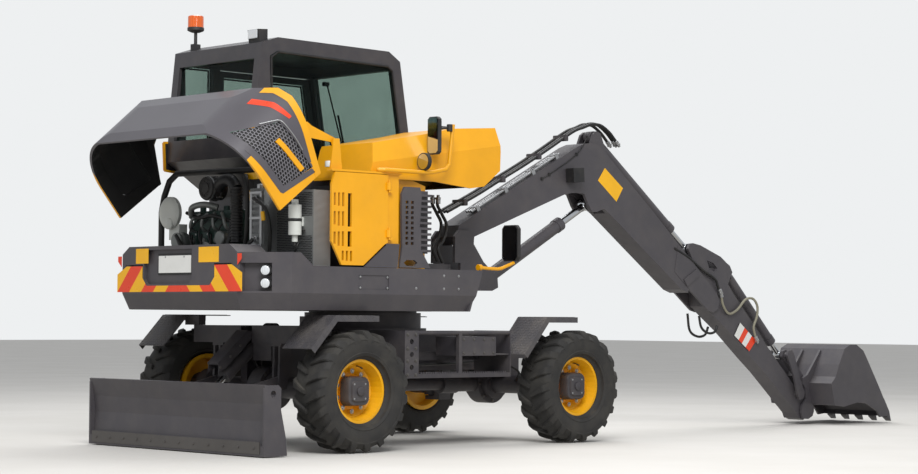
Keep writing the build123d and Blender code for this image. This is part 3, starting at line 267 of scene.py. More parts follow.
@dataclass(frozen=True)
class Finish(Coating):
    """A finish of one colour with its structure, soil and wear."""

    name: str
    slot: str
    code: str
    roughness: float = 0.45
    metallic: float = 0.0
    relief: Relief = Relief.ORANGE_PEEL
    dust: float = 0.15
    dust_code: str = "9a9184"
    coat: float = 0.0

    def relief_normal(self, graph: Graph) -> Socket:
        """Builds the relief of the surface.

        Args:
            graph: the material's tree.

        Returns:
            The normal socket.
        """
        fine = graph.bump(graph.noise(420, 2), 0.0003, 0.35)
        if self.relief is Relief.CAST:
            return graph.bump(graph.noise(170, 4), 0.0012, 0.6, fine)
        if self.relief is Relief.FINS:
            return graph.bump(self.wave(graph, 42.0, "Z"), 0.004, 0.9, fine)
        if self.relief is Relief.WEAVE:
            threads = graph.sum("MULTIPLY", self.wave(graph, 160.0, "Y"), self.wave(graph, 160.0, "Z"))
            return graph.bump(threads, 0.0012, 0.8, fine)
        if self.relief is Relief.TREAD_PLATE:
            return graph.bump(self.tread_bars(graph), 0.002, 0.9, fine)
        if self.relief is Relief.TURNED:
            return graph.bump(graph.noise(900, 1), 0.00005, 0.2)
        if self.relief is Relief.SMOOTH:
            return graph.bump(graph.noise(60, 2), 0.0004, 0.1)
        return fine

    def wave(self, graph: Graph, scale: float, across: str) -> Socket:
        """Builds even bands.

        Args:
            graph: the material's tree.
            scale: how close they lie.
            across: the axis that they follow each other on.

        Returns:
            The height socket.
        """
        inputs = {"Vector": graph.place(), "Scale": scale, "Distortion": 0.0}
        return graph.node("ShaderNodeTexWave", inputs, bands_direction=across).outputs["Fac"]

    def tread_bars(self, graph: Graph) -> Socket:
        """Builds the raised bars of tread plate, turned in every other cell.

        Args:
            graph: the material's tree.

        Returns:
            The height socket.
        """
        pitch = 1 / 0.034
        axes = graph.node("ShaderNodeSeparateXYZ", {0: graph.place(pitch)})
        along = graph.sum("ADD", axes.outputs[0], axes.outputs[2])
        across = axes.outputs[1]
        cells = []
        for value in (along, across):
            cells.append((graph.sum("SUBTRACT", graph.sum("FRACT", value), 0.5), graph.sum("FLOOR", value)))
        odd = graph.sum("ABSOLUTE", graph.sum("MODULO", graph.sum("ADD", cells[0][1], cells[1][1]), 2.0))
        sign = graph.span(odd, 0, 1, -1, 1)
        tilted = graph.sum("MULTIPLY", cells[1][0], sign)
        long = graph.sum("ABSOLUTE", graph.sum("ADD", cells[0][0], tilted))
        wide = graph.sum("ABSOLUTE", graph.sum("SUBTRACT", cells[0][0], tilted))
        bar = graph.sum("ADD", graph.sum("MULTIPLY", wide, 1.9), graph.sum("MULTIPLY", long, 0.55))
        return graph.span(bar, 0.42, 0.28)

    def base(self, graph: Graph) -> Socket:
        """Builds the clean colour with its slight variation.

        Args:
            graph: the material's tree.

        Returns:
            The colour socket.
        """
        colour = srgb(self.code)
        darker = tuple(c * 0.86 for c in colour)
        return graph.mix(graph.span(graph.noise(2.3, 4), 0.35, 0.7), rgba(colour), rgba(darker))

    def shader(self, graph: Graph) -> bpy.types.Node:
        """Joins colour, soil and relief, with more soil on what lies flat.

        Args:
            graph: the material's tree.

        Returns:
            The shader node.
        """
        normal = graph.node("ShaderNodeNewGeometry").outputs["Normal"]
        flat = graph.span(graph.node("ShaderNodeSeparateXYZ", {0: normal}).outputs[2], 0.3, 1.0)
        patches = graph.span(graph.noise(7, 5), 0.42, 0.75)
        soil = graph.sum("MULTIPLY", patches, graph.sum("MULTIPLY_ADD", flat, 0.6, 0.4))
        share = graph.sum("MULTIPLY", soil, self.dust)
        wear = graph.span(graph.noise(11, 4), 0.3, 0.7, self.roughness - 0.05, self.roughness + 0.07)
        inputs = {
            "Base Color": graph.mix(share, self.base(graph), rgba(srgb(self.dust_code))),
            "Roughness": graph.sum("ADD", wear, share),
            "Metallic": self.metallic,
            "Coat Weight": self.coat,
            "Coat Roughness": COAT_ROUGHNESS,
            "Normal": self.relief_normal(graph),
        }
        return graph.node("ShaderNodeBsdfPrincipled", inputs)


@dataclass(frozen=True)
class GlassFinish(Coating):
    """Lightly tinted safety glass."""

    name: str
    code: str
    tint: float

    def shader(self, graph: Graph) -> bpy.types.Node:
        """Mixes clear and glossy, with more gloss at a glancing angle.

        Args:
            graph: the material's tree.

        Returns:
            The shader node.
        """
        smear = graph.span(graph.noise(5, 4), 0.3, 0.8, 0.0, 0.1)
        pale = graph.mix(smear, rgba(srgb(self.code)), rgba(srgb("8d9590")))
        clear = graph.node("ShaderNodeBsdfTransparent", {"Color": pale})
        shine = {"Base Color": rgba(srgb("11181a")), "Roughness": 0.05, "Specular IOR Level": 0.6}
        gloss = graph.node("ShaderNodeBsdfPrincipled", shine)
        edge = graph.node("ShaderNodeLayerWeight", {"Blend": 0.2}).outputs["Facing"]
        share = graph.sum("ADD", graph.sum("MULTIPLY", edge, 0.6), self.tint)
        return graph.node("ShaderNodeMixShader", {0: share, 1: clear.outputs[0], 2: gloss.outputs[0]})


@dataclass(frozen=True)
class LensFinish(Coating):
    """A moulded lamp lens or reflector with its ribs."""

    name: str
    code: str
    ribs: float
    glow: float = 0.15

    def shader(self, graph: Graph) -> bpy.types.Node:
        """Builds the ribbed, faintly lit lens.

        Args:
            graph: the material's tree.

        Returns:
            The shader node.
        """
        cell = {"Vector": graph.place(), "Scale": self.ribs, "Randomness": 0.0}
        ribs = graph.node("ShaderNodeTexVoronoi", cell).outputs["Distance"]
        clear = srgb(self.code)
        colour = graph.mix(graph.span(ribs, 0.2, 0.7), rgba(clear), rgba(tuple(c * 0.55 for c in clear)))
        inputs = {
            "Base Color": colour, "Roughness": 0.12, "Coat Weight": 0.8,
            "Normal": graph.bump(ribs, 0.0015, 0.6), "Emission Color": colour,
            "Emission Strength": self.glow
        }
        return graph.node("ShaderNodeBsdfPrincipled", inputs)


@dataclass(frozen=True)
class LiningAndPaintedShadeFinish(Coating):
    """A finish whose inner side, towards a point, is a second colour: a dark lining in the hood and its
    rim, and painted shade inside the nose cover.
    """

    name: str
    outer: Finish
    inner_code: str
    middle: Point

    def shader(self, graph: Graph) -> bpy.types.Node:
        """Paints what faces the middle in the inner colour.

        Args:
            graph: the material's tree.

        Returns:
            The shader node.
        """
        place = graph.node("ShaderNodeTexCoord").outputs
        offset = graph.node(
            "ShaderNodeVectorMath", {0: place["Object"], 1: self.middle}, operation="SUBTRACT"
        )
        sides = {0: offset.outputs[0], 1: place["Normal"]}
        away = graph.node("ShaderNodeVectorMath", sides, operation="DOT_PRODUCT").outputs["Value"]
        inner = graph.span(away, 0.01, -0.01)
        inputs = {
            "Base Color": graph.mix(inner, self.outer.base(graph), rgba(srgb(self.inner_code))),
            "Roughness": graph.span(inner, 0.0, 1.0, self.outer.roughness, 0.85),
            "Coat Weight": self.outer.coat,
            "Coat Roughness": COAT_ROUGHNESS,
            "Normal": self.outer.relief_normal(graph),
        }
        return graph.node("ShaderNodeBsdfPrincipled", inputs)


GREY = Finish("grey_paint", "body_grey", "4a474b", 0.42)
HOOD_GREY = Finish("hood_paint", "body_grey", "504d52", 0.32, coat=0.25)
FRAME_GREY = Finish("frame_paint", "body_grey", "403d41", 0.5, dust=0.28)
PLATE_GREY = Finish("tread_plate_paint", "body_grey", "4a484b", 0.48, relief=Relief.TREAD_PLATE, dust=0.3)
YELLOW = Finish("yellow_paint", "body_yellow", "e8a300", 0.4, dust=0.04, coat=0.12)
RIM_YELLOW = Finish("rim_paint", "body_yellow", "f4b008", 0.42, dust=0.1)
BLACK = Finish("black_paint", "body_black", "1d1d1f", 0.45)
CAB_GREY = Finish("cab_paint", "body_grey", "39373b", 0.38, coat=0.2)
CHROME = Finish("rod_chrome_finish", "rod_chrome", "d8dadc", 0.13, 1.0, Relief.TURNED, dust=0.05)
RUBBER = Finish(
    "tyre_rubber", "rubber_tyre", "2b2a29", 0.75, relief=Relief.CAST, dust=0.45, dust_code="6f6a60"
)
SEAL = Finish("seal_rubber", "rubber_tyre", "18181a", 0.6, relief=Relief.SMOOTH, dust=0.1)
HOSE = Finish("hose_rubber", "rubber_tyre", "1a1a1b", 0.5, relief=Relief.SMOOTH, dust=0.15)
PALE_HOSE = Finish("pale_hose", "rubber_tyre", "8b8775", 0.5, relief=Relief.SMOOTH, dust=0.2)
PLASTIC = Finish("trim_moulding", "trim_plastic", "242426", 0.55, relief=Relief.CAST)
PALE_PLASTIC = Finish("pale_moulding", "trim_plastic", "d6d8d2", 0.4, relief=Relief.SMOOTH, dust=0.12)
FABRIC = Finish("seat_cloth", "seat_fabric", "3a3b3f", 0.85, relief=Relief.WEAVE)
ENGINE = Finish("engine_paint", "machinery", "24423c", 0.45, relief=Relief.CAST, dust=0.25)
CASTING = Finish("bare_casting", "machinery", "8d908e", 0.5, 0.6, Relief.CAST, dust=0.25)
ALLOY = Finish("cast_alloy", "alloy", "b4b6b6", 0.4, 0.8, Relief.FINS, dust=0.1)
STEEL = Finish("bright_steel", "alloy", "b9babb", 0.33, 0.9, Relief.TURNED, dust=0.1)
WORN_STEEL = Finish("worn_steel", "machinery", "6d6a68", 0.45, 0.8, Relief.CAST, dust=0.2)
GLASS = GlassFinish("tinted_glass", "dde6e2", 0.03)
GRILLE_GREY = Finish("grille_paint", "body_grey", "77757a", 0.4, dust=0.1)
MIRROR = Finish("mirror_glass", "glass", "c9d2d8", 0.03, 1.0, Relief.SMOOTH, dust=0.02)
WHITE_LENS = LensFinish("white_lens", "dfe3e6", 160)
AMBER_LENS = LensFinish("amber_lens", "e2620c", 120, 0.3)
RED_FILM = Finish("red_film", "trim_plastic", "e8421f", 0.3, relief=Relief.SMOOTH, dust=0.05)
YELLOW_FILM = Finish("yellow_film", "body_yellow", "f7b80d", 0.3, relief=Relief.SMOOTH, dust=0.04)
WHITE_FILM = Finish("white_film", "trim_plastic", "e6e6e2", 0.35, relief=Relief.SMOOTH, dust=0.06)

HOOD_LINING = (ORIGIN_X - 1.66, 0.0, 1.85)
# The nose cover's inner side, facing this point, gets a darker yellow as painted shade.
COVER_PAINTED_SHADE_MIDDLE = (ORIGIN_X - 0.25, -0.58, 1.86)

NODE_FINISHES: dict[Coating, tuple[str, ...]] = {
    FRAME_GREY: (
        "chassis", "side_steps", "rear_axle", "front_axle", "knuckle_left", "knuckle_right",
        "blade_barrel",
    ),
    PLATE_GREY: ("fenders",),
    GREY: (
        "blade", "upper_frame", "counterweight", "kick_panel", "guard_panel", "swing_post", "boom",
        "boom_barrel", "arm", "arm_barrel", "bucket_barrel", "rocker", "link", "bucket",
    ),
    CHROME: ("blade_rod", "boom_rod", "arm_rod", "bucket_rod"),
    ENGINE: ("engine_block",),
    BLACK: ("air_filter", "bay_frame", "hood_grille", "boom_lamp"),
    ALLOY: ("cooling_pack",),
    PALE_PLASTIC: ("coolant_tank",),
    YELLOW: ("tank_housing", "side_door", "handrail"),
    # Nose cover: its inside is painted a darker yellow as painted shade; its own paint there is the same
    # yellow.
    LiningAndPaintedShadeFinish("cover_paint", YELLOW, "6b5417", COVER_PAINTED_SHADE_MIDDLE): ("nose_cover",),
    PLASTIC: ("mirrors", "cab_interior", "lamps"),
    CAB_GREY: ("cab_shell", "cab_door"),
    GLASS: ("cab_glass", "door_glass"),
    LiningAndPaintedShadeFinish("lined_hood_paint", HOOD_GREY, "141415", HOOD_LINING): ("hood",),
    LiningAndPaintedShadeFinish("lined_rim_paint", YELLOW, "1a1919", HOOD_LINING): ("hood_rim",),
    STEEL: ("boom_pipes",),
}


# ---- Shapes ----


def at(x: float, y: float, z: float) -> Vector:
    """Places a point given by its station from mid-wheelbase."""
    return Vector((x + ORIGIN_X, y, z))


def circle(radius: float, count: int, shift: float = 0.0) -> Outline:
    """Sets points evenly on a circle, the first turned by a shift in steps."""
    turns = [2 * math.pi * (step + shift) / count for step in range(count)]
    return [(radius * math.cos(turn), radius * math.sin(turn)) for turn in turns]


def stand(name: str, data: bpy.types.ID) -> bpy.types.Object:
    """Makes an object and links it to the scene.

    Args:
        name: its name.
        data: its mesh, lamp or camera.

    Returns:
        The object.
    """
    made = bpy.data.objects.new(name, data)
    bpy.context.scene.collection.objects.link(made)
    return made


def eased(points: list[Point]) -> list[Vector]:
    """Runs a smooth line through points.

    Args:
        points: the points, by station.

    Returns:
        The line's points, in place.
    """
    ends = [at(*point) for point in points]
    if len(ends) < 3:
        return ends
    run = [ends[0] * 2 - ends[1], *ends, ends[-1] * 2 - ends[-2]]
    line = []
    for a, b, c, d in zip(run, run[1:], run[2:], run[3:]):
        for step in range(RUN_STEPS):
            t = step / RUN_STEPS
            cubic, square = a * -1 + b * 3 - c * 3 + d, a * 2 - b * 5 + c * 4 - d
            line.append(b + (cubic * t**3 + square * t**2 + (c - a) * t) * 0.5)
    return [*line, ends[-1]]


class Shape:
    """A mesh under construction, in place."""

    def __init__(self) -> None:
        """Starts an empty mesh."""
        self.mesh = bmesh.new()

    def skin(self, rings: list[list[Vector]], capped: bool = True) -> None:
        """Joins rings of points into a closed surface.

        Args:
            rings: the rings, each with as many points.
            capped: whether the ends are closed, or the last ring joins the first.
        """
        made = [[self.mesh.verts.new(point) for point in ring] for ring in rings]
        count = len(rings[0])
        pairs = list(zip(made, made[1:]))
        if not capped:
            pairs.append((made[-1], made[0]))
        for first, second in pairs:
            for i in range(count):
                k = (i + 1) % count
                self.mesh.faces.new((first[i], first[k], second[k], second[i]))
        if capped:
            self.mesh.faces.new(made[0][::-1])
            self.mesh.faces.new(made[-1])

    def prism(self, outline: Outline, axis: str, start: float, end: float) -> None:
        """Raises an outline along an axis.

        Args:
            outline: its corners: (y, z) along x, (x, z) along y or (x, y) along z.
            axis: x, y or z.
            start: where it starts.
            end: where it ends.
        """
        order = {"x": (2, 0, 1), "y": (0, 2, 1), "z": (0, 1, 2)}[axis]
        self.skin([[at(*((a, b, level)[k] for k in order)) for a, b in outline] for level in (start, end)])

    def box(self, x: Span, y: Span, z: Span) -> None:
        """Adds a block between two stations on each axis."""
        self.prism([(x[0], y[0]), (x[1], y[0]), (x[1], y[1]), (x[0], y[1])], "z", *z)

    def turned(self, start: Point, way: Point, profile: Outline, sides: int = 24) -> None:
        """Turns a profile about a line.

        Args:
            start: where the line starts.
            way: which way it runs.
            profile: distances along the line with their radii.
            sides: divisions round it.
        """
        origin = at(*start)
        forward = Vector(way).normalized()
        across = forward.orthogonal().normalized()
        up = forward.cross(across)
        around = [across * a + up * b for a, b in circle(1.0, sides)]
        self.skin([
            [origin + forward * distance + spoke * radius for spoke in around]
            for distance, radius in profile
        ])

    def rod(self, start: Point, end: Point, radius: float, sides: int = 20, edge: float = 0.0) -> None:
        """Adds a round bar between two points.

        Args:
            start: one end.
            end: the other end.
            radius: its radius.
            sides: divisions round it.
            edge: the width of its end bevels.
        """
        line = at(*end) - at(*start)
        length = line.length
        profile = [(0.0, radius), (length, radius)]
        if edge:
            profile = [
                (0.0, radius - edge), (edge, radius), (length - edge, radius), (length, radius - edge)
            ]
        self.turned(start, line, profile, sides)

    def tube(self, points: list[Point], radius: float, sides: int = 10) -> None:
        """Adds a round hose or wire that runs smoothly through points.

        Args:
            points: the points that it passes.
            radius: its radius.
            sides: divisions round it.
        """
        line = eased(points)
        forward = (line[1] - line[0]).normalized()
        across = forward.orthogonal().normalized()
        around = circle(1.0, sides)
        rings = []
        for k, point in enumerate(line):
            ahead = (line[min(k + 1, len(line) - 1)] - line[max(k - 1, 0)]).normalized()
            across = (across - ahead * across.dot(ahead)).normalized()
            up = ahead.cross(across)
            rings.append([point + (across * a + up * b) * radius for a, b in around])
        self.skin(rings)

    def fitting(self, point: Point, towards: Point, radius: float) -> None:
        """Adds a crimped hose end with its nut.

        Args:
            point: where the hose ends.
            towards: a point that the fitting points at.
            radius: the hose's radius.
        """
        way = at(*towards) - at(*point)
        crimp = [(-0.03, 1.15), (-0.028, 1.35), (0.0, 1.35), (0.002, 1.0)]
        nut = [(0.0, 1.1), (0.002, 1.7), (0.016, 1.7), (0.018, 1.1)]
        neck = [(0.016, 0.9), (0.034, 0.9)]
        for profile, sides in ((crimp, 14), (nut, 6), (neck, 12)):
            self.turned(point, way, [(along, radius * share) for along, share in profile], sides)

    def sheet(self, corners: list[Point], thickness: float) -> None:
        """Adds a flat plate with any outline.

        Args:
            corners: its corners in turn, on one plane.
            thickness: how far it stands off that plane.
        """
        base = [at(*corner) for corner in corners]
        normal = Vector()
        for first, last in zip(base, base[1:] + base[:1]):
            normal += (first - base[0]).cross(last - base[0])
        normal.normalize()
        self.skin([base, [point + normal * thickness for point in base]])

    def take(self, mesh: bpy.types.Mesh) -> None:
        """Joins a finished mesh to this one."""
        self.mesh.from_mesh(mesh)
        bpy.data.meshes.remove(mesh)

    def bevelled(self, width: float, segments: int = 2) -> None:
        """Rounds every sharp edge so far.

        Args:
            width: the bevel's width.
            segments: its divisions.
        """
        self.mesh.normal_update()
        sharp = [
            edge for edge in self.mesh.edges if edge.is_manifold and edge.calc_face_angle(0.0) > BEVEL_ANGLE
        ]
        bmesh.ops.bevel(
            self.mesh, geom=sharp, offset=width, segments=segments, affect="EDGES", clamp_overlap=True
        )

    def piece(self, name: str, finish: Coating, body: str, slot: str = "") -> bpy.types.Object:
        """Makes the piece from this mesh.

        Args:
            name: its name.
            finish: its finish.
            body: the body that it moves with.
            slot: not used.

        Returns:
            The piece.
        """
        bmesh.ops.recalc_face_normals(self.mesh, faces=self.mesh.faces)
        data = bpy.data.meshes.new(name)
        self.mesh.to_mesh(data)
        self.mesh.free()
        data.materials.clear()
        data.materials.append(finish.material())
        data.shade_smooth()
        data.set_sharp_from_angle(angle=SHARP_ANGLE)
        made = stand(name, data)
        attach(made, body)
        data.calc_loop_triangles()
        LOG.info("%s: %d triangles on %s", name, len(data.loop_triangles), body)
        return made


@dataclass(frozen=True)
class Spot:
    """Where a repeated item stands and which way it faces."""

    point: Vector
    turn: Point = (0.0, 0.0, 0.0)
    scale: Point = (1.0, 1.0, 1.0)


def facing(point: Point, direction: Point, scale: float = 1.0) -> Spot:
    """Stands an item on a surface.

    Args:
        point: where it stands, by station.
        direction: the surface's outward direction.
        scale: its size.

    Returns:
        The spot.
    """
    turn = Vector(direction).to_track_quat("Z", "Y").to_euler()
    return Spot(at(*point), tuple(turn), (scale, scale, scale))


class Repeater:
    """Geometry Nodes that set copies of one item on spots."""

    def __init__(self) -> None:
        """Builds the node group with its inputs."""
        self.tree = bpy.data.node_groups.new("copies_on_spots", "GeometryNodeTree")
        sockets = self.tree.interface
        sockets.new_socket("Spots", in_out="INPUT", socket_type="NodeSocketGeometry")
        self.item = sockets.new_socket("Item", in_out="INPUT", socket_type="NodeSocketObject").identifier
        self.finish = sockets.new_socket(
            "Finish", in_out="INPUT", socket_type="NodeSocketMaterial"
        ).identifier
        sockets.new_socket("Copies", in_out="OUTPUT", socket_type="NodeSocketGeometry")
        kinds = (
            "NodeGroupInput", "GeometryNodeObjectInfo", "GeometryNodeInstanceOnPoints",
            "GeometryNodeRealizeInstances", "GeometryNodeSetMaterial", "FunctionNodeEulerToRotation",
            "NodeGroupOutput"
        )
        entry, source, copies, whole, painted, rotation, leave = (
            self.tree.nodes.new(kind) for kind in kinds
        )
        source.inputs["As Instance"].default_value = True
        turn, size = (self.attribute(name) for name in ("turn", "size"))
        for first, last in (
            (entry.outputs["Spots"], copies.inputs["Points"]),
            (entry.outputs["Item"], source.inputs["Object"]),
            (source.outputs["Geometry"], copies.inputs["Instance"]),
            (turn, rotation.inputs[0]),
            (rotation.outputs[0], copies.inputs["Rotation"]),
            (size, copies.inputs["Scale"]),
            (copies.outputs[0], whole.inputs[0]),
            (whole.outputs[0], painted.inputs["Geometry"]),
            (entry.outputs["Finish"], painted.inputs["Material"]),
            (painted.outputs[0], leave.inputs[0]),
        ):
            self.tree.links.new(first, last)

    def attribute(self, name: str) -> Socket:
        """Reads a vector kept on each spot.

        Args:
            name: its name.

        Returns:
            The vector socket.
        """
        value = self.tree.nodes.new("GeometryNodeInputNamedAttribute")
        value.data_type = "FLOAT_VECTOR"
        value.inputs["Name"].default_value = name
        return value.outputs["Attribute"]

    def mesh(self, item: Shape, spots: list[Spot], finish: Finish) -> bpy.types.Mesh:
        """Makes one mesh of all the copies.

        Args:
            item: the item at the origin, facing up.
            spots: where its copies stand.
            finish: their finish.

        Returns:
            The mesh.
        """
        model = bpy.data.meshes.new("item")
        bmesh.ops.recalc_face_normals(item.mesh, faces=item.mesh.faces)
        item.mesh.to_mesh(model)
        item.mesh.free()
        source = stand("item", model)
        ground = bpy.data.meshes.new("spots")
        ground.from_pydata([spot.point for spot in spots], [], [])
        for name, values in (
            ("turn", [spot.turn for spot in spots]), ("size", [spot.scale for spot in spots])
        ):
            attribute = ground.attributes.new(name, "FLOAT_VECTOR", "POINT")
            attribute.data.foreach_set("vector", [part for value in values for part in value])
        carrier = stand("spots", ground)
        modifier = carrier.modifiers.new("copies", "NODES")
        modifier.node_group = self.tree
        modifier[self.item] = source
        modifier[self.finish] = finish.material()
        graph = bpy.context.evaluated_depsgraph_get()
        result = bpy.data.meshes.new_from_object(carrier.evaluated_get(graph))
        carrier.modifiers.remove(modifier)
        for made in (source, carrier):
            data = made.data
            bpy.data.objects.remove(made)
            bpy.data.meshes.remove(data)
        return result

    def piece(
        self, name: str, item: Shape, spots: list[Spot], finish: Finish, body: str
    ) -> bpy.types.Object:
        """Makes a piece of all the copies.

        Args:
            name: its name.
            item: the item at the origin, facing up.
            spots: where its copies stand.
            finish: their finish.
            body: the body that it moves with.

        Returns:
            The piece.
        """
        shape = Shape()
        shape.take(self.mesh(item, spots, finish))
        return shape.piece(name, finish, body)


def bolt() -> Shape:
    """Models a hexagon bolt head on its washer, at the origin.

    Returns:
        Its shape.
    """
    radius = 0.009
    shape = Shape()
    washer = [(-0.001, radius * 1.5), (radius * 0.2, radius * 1.5), (radius * 0.25, radius * 1.4)]
    shape.turned(CENTRE, UPWARD, washer, 16)
    shape.turned(CENTRE, UPWARD, [
        (radius * 0.2, radius), (radius * 0.75, radius), (radius * 0.85, radius * 0.82)
    ], 6)
    return shape


# ---- Studio ----


@dataclass
class Studio:
    """Floor, light and camera."""

    eye: Point = (-12.4035, -11.9681, 0.8922)
    yaw: float = math.radians(46.38)
    pitch: float = 0.0374
    roll: float = 0.0064
    lens: float = 86.07
    sensor: float = 36.0
    reach: float = 200.0
    floor_size: float = 60.0
    floor_drop: float = 0.001

    def camera(self) -> None:
        """Places the camera."""
        ahead = Vector((math.cos(self.yaw), math.sin(self.yaw), 0))
        forward = ahead * math.cos(self.pitch) + Vector((0, 0, math.sin(self.pitch)))
        level = Vector((math.sin(self.yaw), -math.cos(self.yaw), 0))
        above = level.cross(forward)
        right = level * math.cos(self.roll) + above * math.sin(self.roll)
        up = above * math.cos(self.roll) - level * math.sin(self.roll)
        data = bpy.data.cameras.new("view")
        data.lens = self.lens
        data.sensor_width = self.sensor
        data.clip_end = self.reach
        camera = stand("view", data)
        camera.matrix_world = Matrix.Translation(self.eye) @ Matrix(
            (right, up, -forward)
        ).transposed().to_4x4()
        bpy.context.scene.camera = camera

    def floor(self) -> None:
        """Lays the pale floor."""
        graph = Graph(bpy.data.materials.new("floor_finish"))
        ray = graph.node("ShaderNodeLightPath")
        seen = graph.sum("MAXIMUM", ray.outputs["Is Glossy Ray"], ray.outputs["Is Transmission Ray"])
        shade = graph.mix(
            graph.span(graph.noise(0.8, 3), 0.3, 0.7), rgba(srgb("d9d6d1")), rgba(srgb("d2cfc9"))
        )
        matt = graph.node("ShaderNodeBsdfPrincipled", {"Base Color": shade, "Roughness": 0.9})
        pale = graph.node("ShaderNodeEmission", {"Color": rgba(srgb("c9c6c0")), "Strength": 0.8})
        mixed = graph.node("ShaderNodeMixShader", {0: seen, 1: matt.outputs[0], 2: pale.outputs[0]})
        shape = bmesh.new()
        bmesh.ops.create_grid(shape, x_segments=1, y_segments=1, size=self.floor_size)
        data = bpy.data.meshes.new("floor")
        shape.to_mesh(data)
        shape.free()
        data.materials.append(graph.finish(mixed))
        plane = stand("floor", data)
        plane.location.z = -self.floor_drop

    def sky(self) -> None:
        """Sets the plain light from all round, and the paler backdrop."""
        world = bpy.data.worlds.new("studio")
        bpy.context.scene.world = world
        graph = Graph(world)
        seen = graph.node("ShaderNodeLightPath").outputs["Is Camera Ray"]
        light, back = (
            graph.node("ShaderNodeBackground", {"Color": rgba(srgb(code)), "Strength": strength}).outputs[0]
            for code, strength in (("f3f6fa", 0.62), ("eef0f1", 1.0))
        )
        graph.finish(graph.node("ShaderNodeMixShader", {0: seen, 1: light, 2: back}), "World")

    def lamp(self, name: str, place: Point, aim: Point, power: float, size: float) -> None:
        """Hangs a soft lamp.

        Args:
            name: the lamp's name.
            place: where it hangs.
            aim: what it faces.
            power: its watts.
            size: its side in metres.
        """
        data = bpy.data.lights.new(name, "AREA")
        data.energy = power
        data.size = size
        light = stand(name, data)
        light.location = place
        light.rotation_euler = (Vector(aim) - Vector(place)).to_track_quat("-Z", "Y").to_euler()

    def make(self) -> None:
        """Builds the studio."""
        self.camera()
        self.floor()
        self.sky()
        self.lamp("key", (-7.0, -7.0, 8.0), (0.0, 0.0, 1.0), 900, 5.0)
        self.lamp("top", (1.0, 2.0, 9.0), (0.0, 0.0, 1.0), 500, 6.0)
        scene = bpy.context.scene
        scene.view_settings.view_transform = "Standard"
        LOG.info("studio ready")


# ---- Wheels ----


